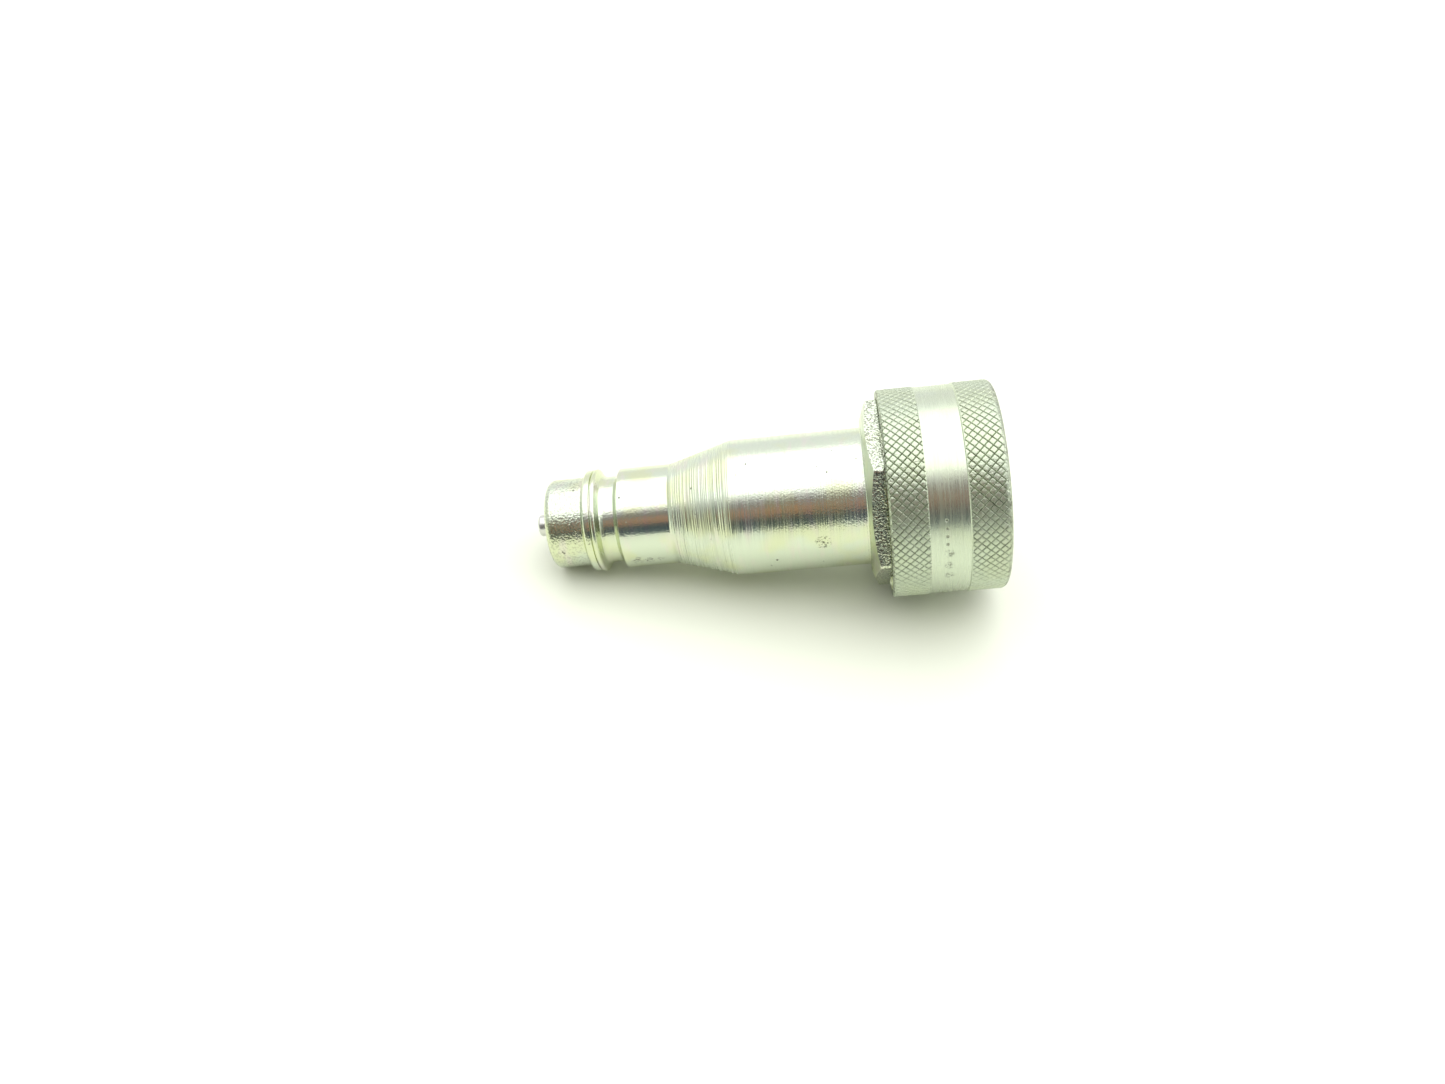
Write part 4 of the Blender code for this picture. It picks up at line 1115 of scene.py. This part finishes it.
def on_flat(station, radius, normal):
    return station > HEX_START + 0.3 and radius > BARREL_RADIUS + 0.5 and abs(normal.x) < 0.1


def on_band(station, radius, normal):
    return REAR_BAND_END - 0.1 < station < PLAIN_BAND_END + 0.1 and radius > SKIRT_RADIUS + 0.4


def on_inside(station, radius, normal):
    return radius < SKIRT_RADIUS + 0.05


def build_body(zinc_socket):
    plug = make_plug_body()
    paint(plug, make_plug_zinc(), make_hexagon_zinc())
    assign(plug, 1, on_flat)
    shade(plug)
    place_piece(plug, "body", "nipple_body")
    finish(make_socket_body(), zinc_socket, "body", "socket_body")


def build_sliding_sleeve(zinc_socket, spring_steel):
    sleeve = make_sleeve()
    paint(sleeve, make_knurl_zinc(), make_band_zinc(), zinc_socket)
    assign(sleeve, 1, on_band)
    assign(sleeve, 2, on_inside)
    sleeve.data.shade_smooth()
    sleeve.data.set_sharp_from_angle(angle=math.radians(SLEEVE_SHARP_ANGLE))
    place_piece(sleeve, "sleeve", "sleeve")

    spring = make_spring("sleeve_return_spring", "sleeve_spring", SPRING_MEAN, SPRING_WIRE, SPRING_TURNS)
    finish_spring(spring, spring_steel, "sleeve_spring", "sleeve_spring")


def finish_spring(spring, steel, node, body):
    """Paint and shade a spring, let it ride on its body and give it a mesh of its own."""
    finish(spring, steel, body, node, SPRING_SHARP_ANGLE)
    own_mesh(spring)


def build_lock(ball_steel, spring_steel):
    for index in range(1, BALL_COUNT + 1):
        finish(make_ball(index), ball_steel, f"ball_{index}", f"locking_ball_{index}")
    inner = SOCKET_RADIUS - RING_GROOVE_DEPTH + RING_GAP
    ring = split_ring("stop_ring", "sleeve_stop_ring", inner, LAND_RADIUS + LAND_RISE + 0.8)
    finish(ring, spring_steel, "body", "sleeve_stop_ring")


def build_seals(nitrile, ptfe):
    for name, node, body in (("lip_oring", "socket_oring", "body"), ("joint_seal", "joint_oring", "body"),
                             ("plug_seat_seal", "nipple_poppet_seal", "nipple_poppet"),
                             ("socket_seat_seal", "coupler_poppet_seal", "coupler_poppet")):
        finish(o_ring(name, node), nitrile, body, node)
    finish(make_backup_ring(), ptfe, "body", "socket_backup_ring")


def build_valve(side, prefix, valve, bright_steel, zinc_socket, spring_steel):
    finish(make_poppet(side + "_poppet_turned", valve), bright_steel, prefix + "_poppet",
           prefix + "_poppet")
    finish(make_guide(side + "_stem_guide", valve), zinc_socket, "body", prefix + "_guide")
    ring = split_ring(side + "_circlip", prefix + "_guide_ring", valve["chamber"] - CIRCLIP_INSIDE,
                      valve["chamber"] + CIRCLIP_DEPTH)
    finish(ring, spring_steel, "body", prefix + "_guide_ring")
    mean = HUB_RADIUS + HUB_SPRING_GAP + valve["wire"] / 2
    spring = make_spring(side + "_valve_spring", prefix + "_spring", mean, valve["wire"], valve["turns"])
    finish_spring(spring, spring_steel, prefix + "_spring", "body")


zinc_socket = make_socket_zinc()
bright_steel = make_steel("bright_steel", (0.66, 0.66, 0.62), 0.14, (5.0, 0.05, 0.05), 0.02)
ball_steel = make_steel("ball_steel", (0.62, 0.62, 0.61), 0.06, 1.2, 0.004)
spring_steel = make_steel("spring_steel", (0.34, 0.34, 0.35), 0.26, 1.5, 0.02)
nitrile = make_soft("nitrile", (0.018, 0.018, 0.020), (0.12, 0.12, 0.11), 0.42, 3.0)
ptfe = make_soft("ptfe", (0.78, 0.78, 0.74), (0.60, 0.58, 0.50), 0.40, 2.0)

build_body(zinc_socket)
build_sliding_sleeve(zinc_socket, spring_steel)
build_lock(ball_steel, spring_steel)
build_seals(nitrile, ptfe)
build_valve("plug", "nipple", PLUG_VALVE, bright_steel, zinc_socket, spring_steel)
build_valve("socket", "coupler", SOCKET_VALVE, bright_steel, zinc_socket, spring_steel)

floor_normal, floor_depth = floor_frame()
make_floor(floor_normal, floor_depth)
make_world(floor_normal)
make_camera()
bpy.context.scene.view_settings.view_transform = "Standard"
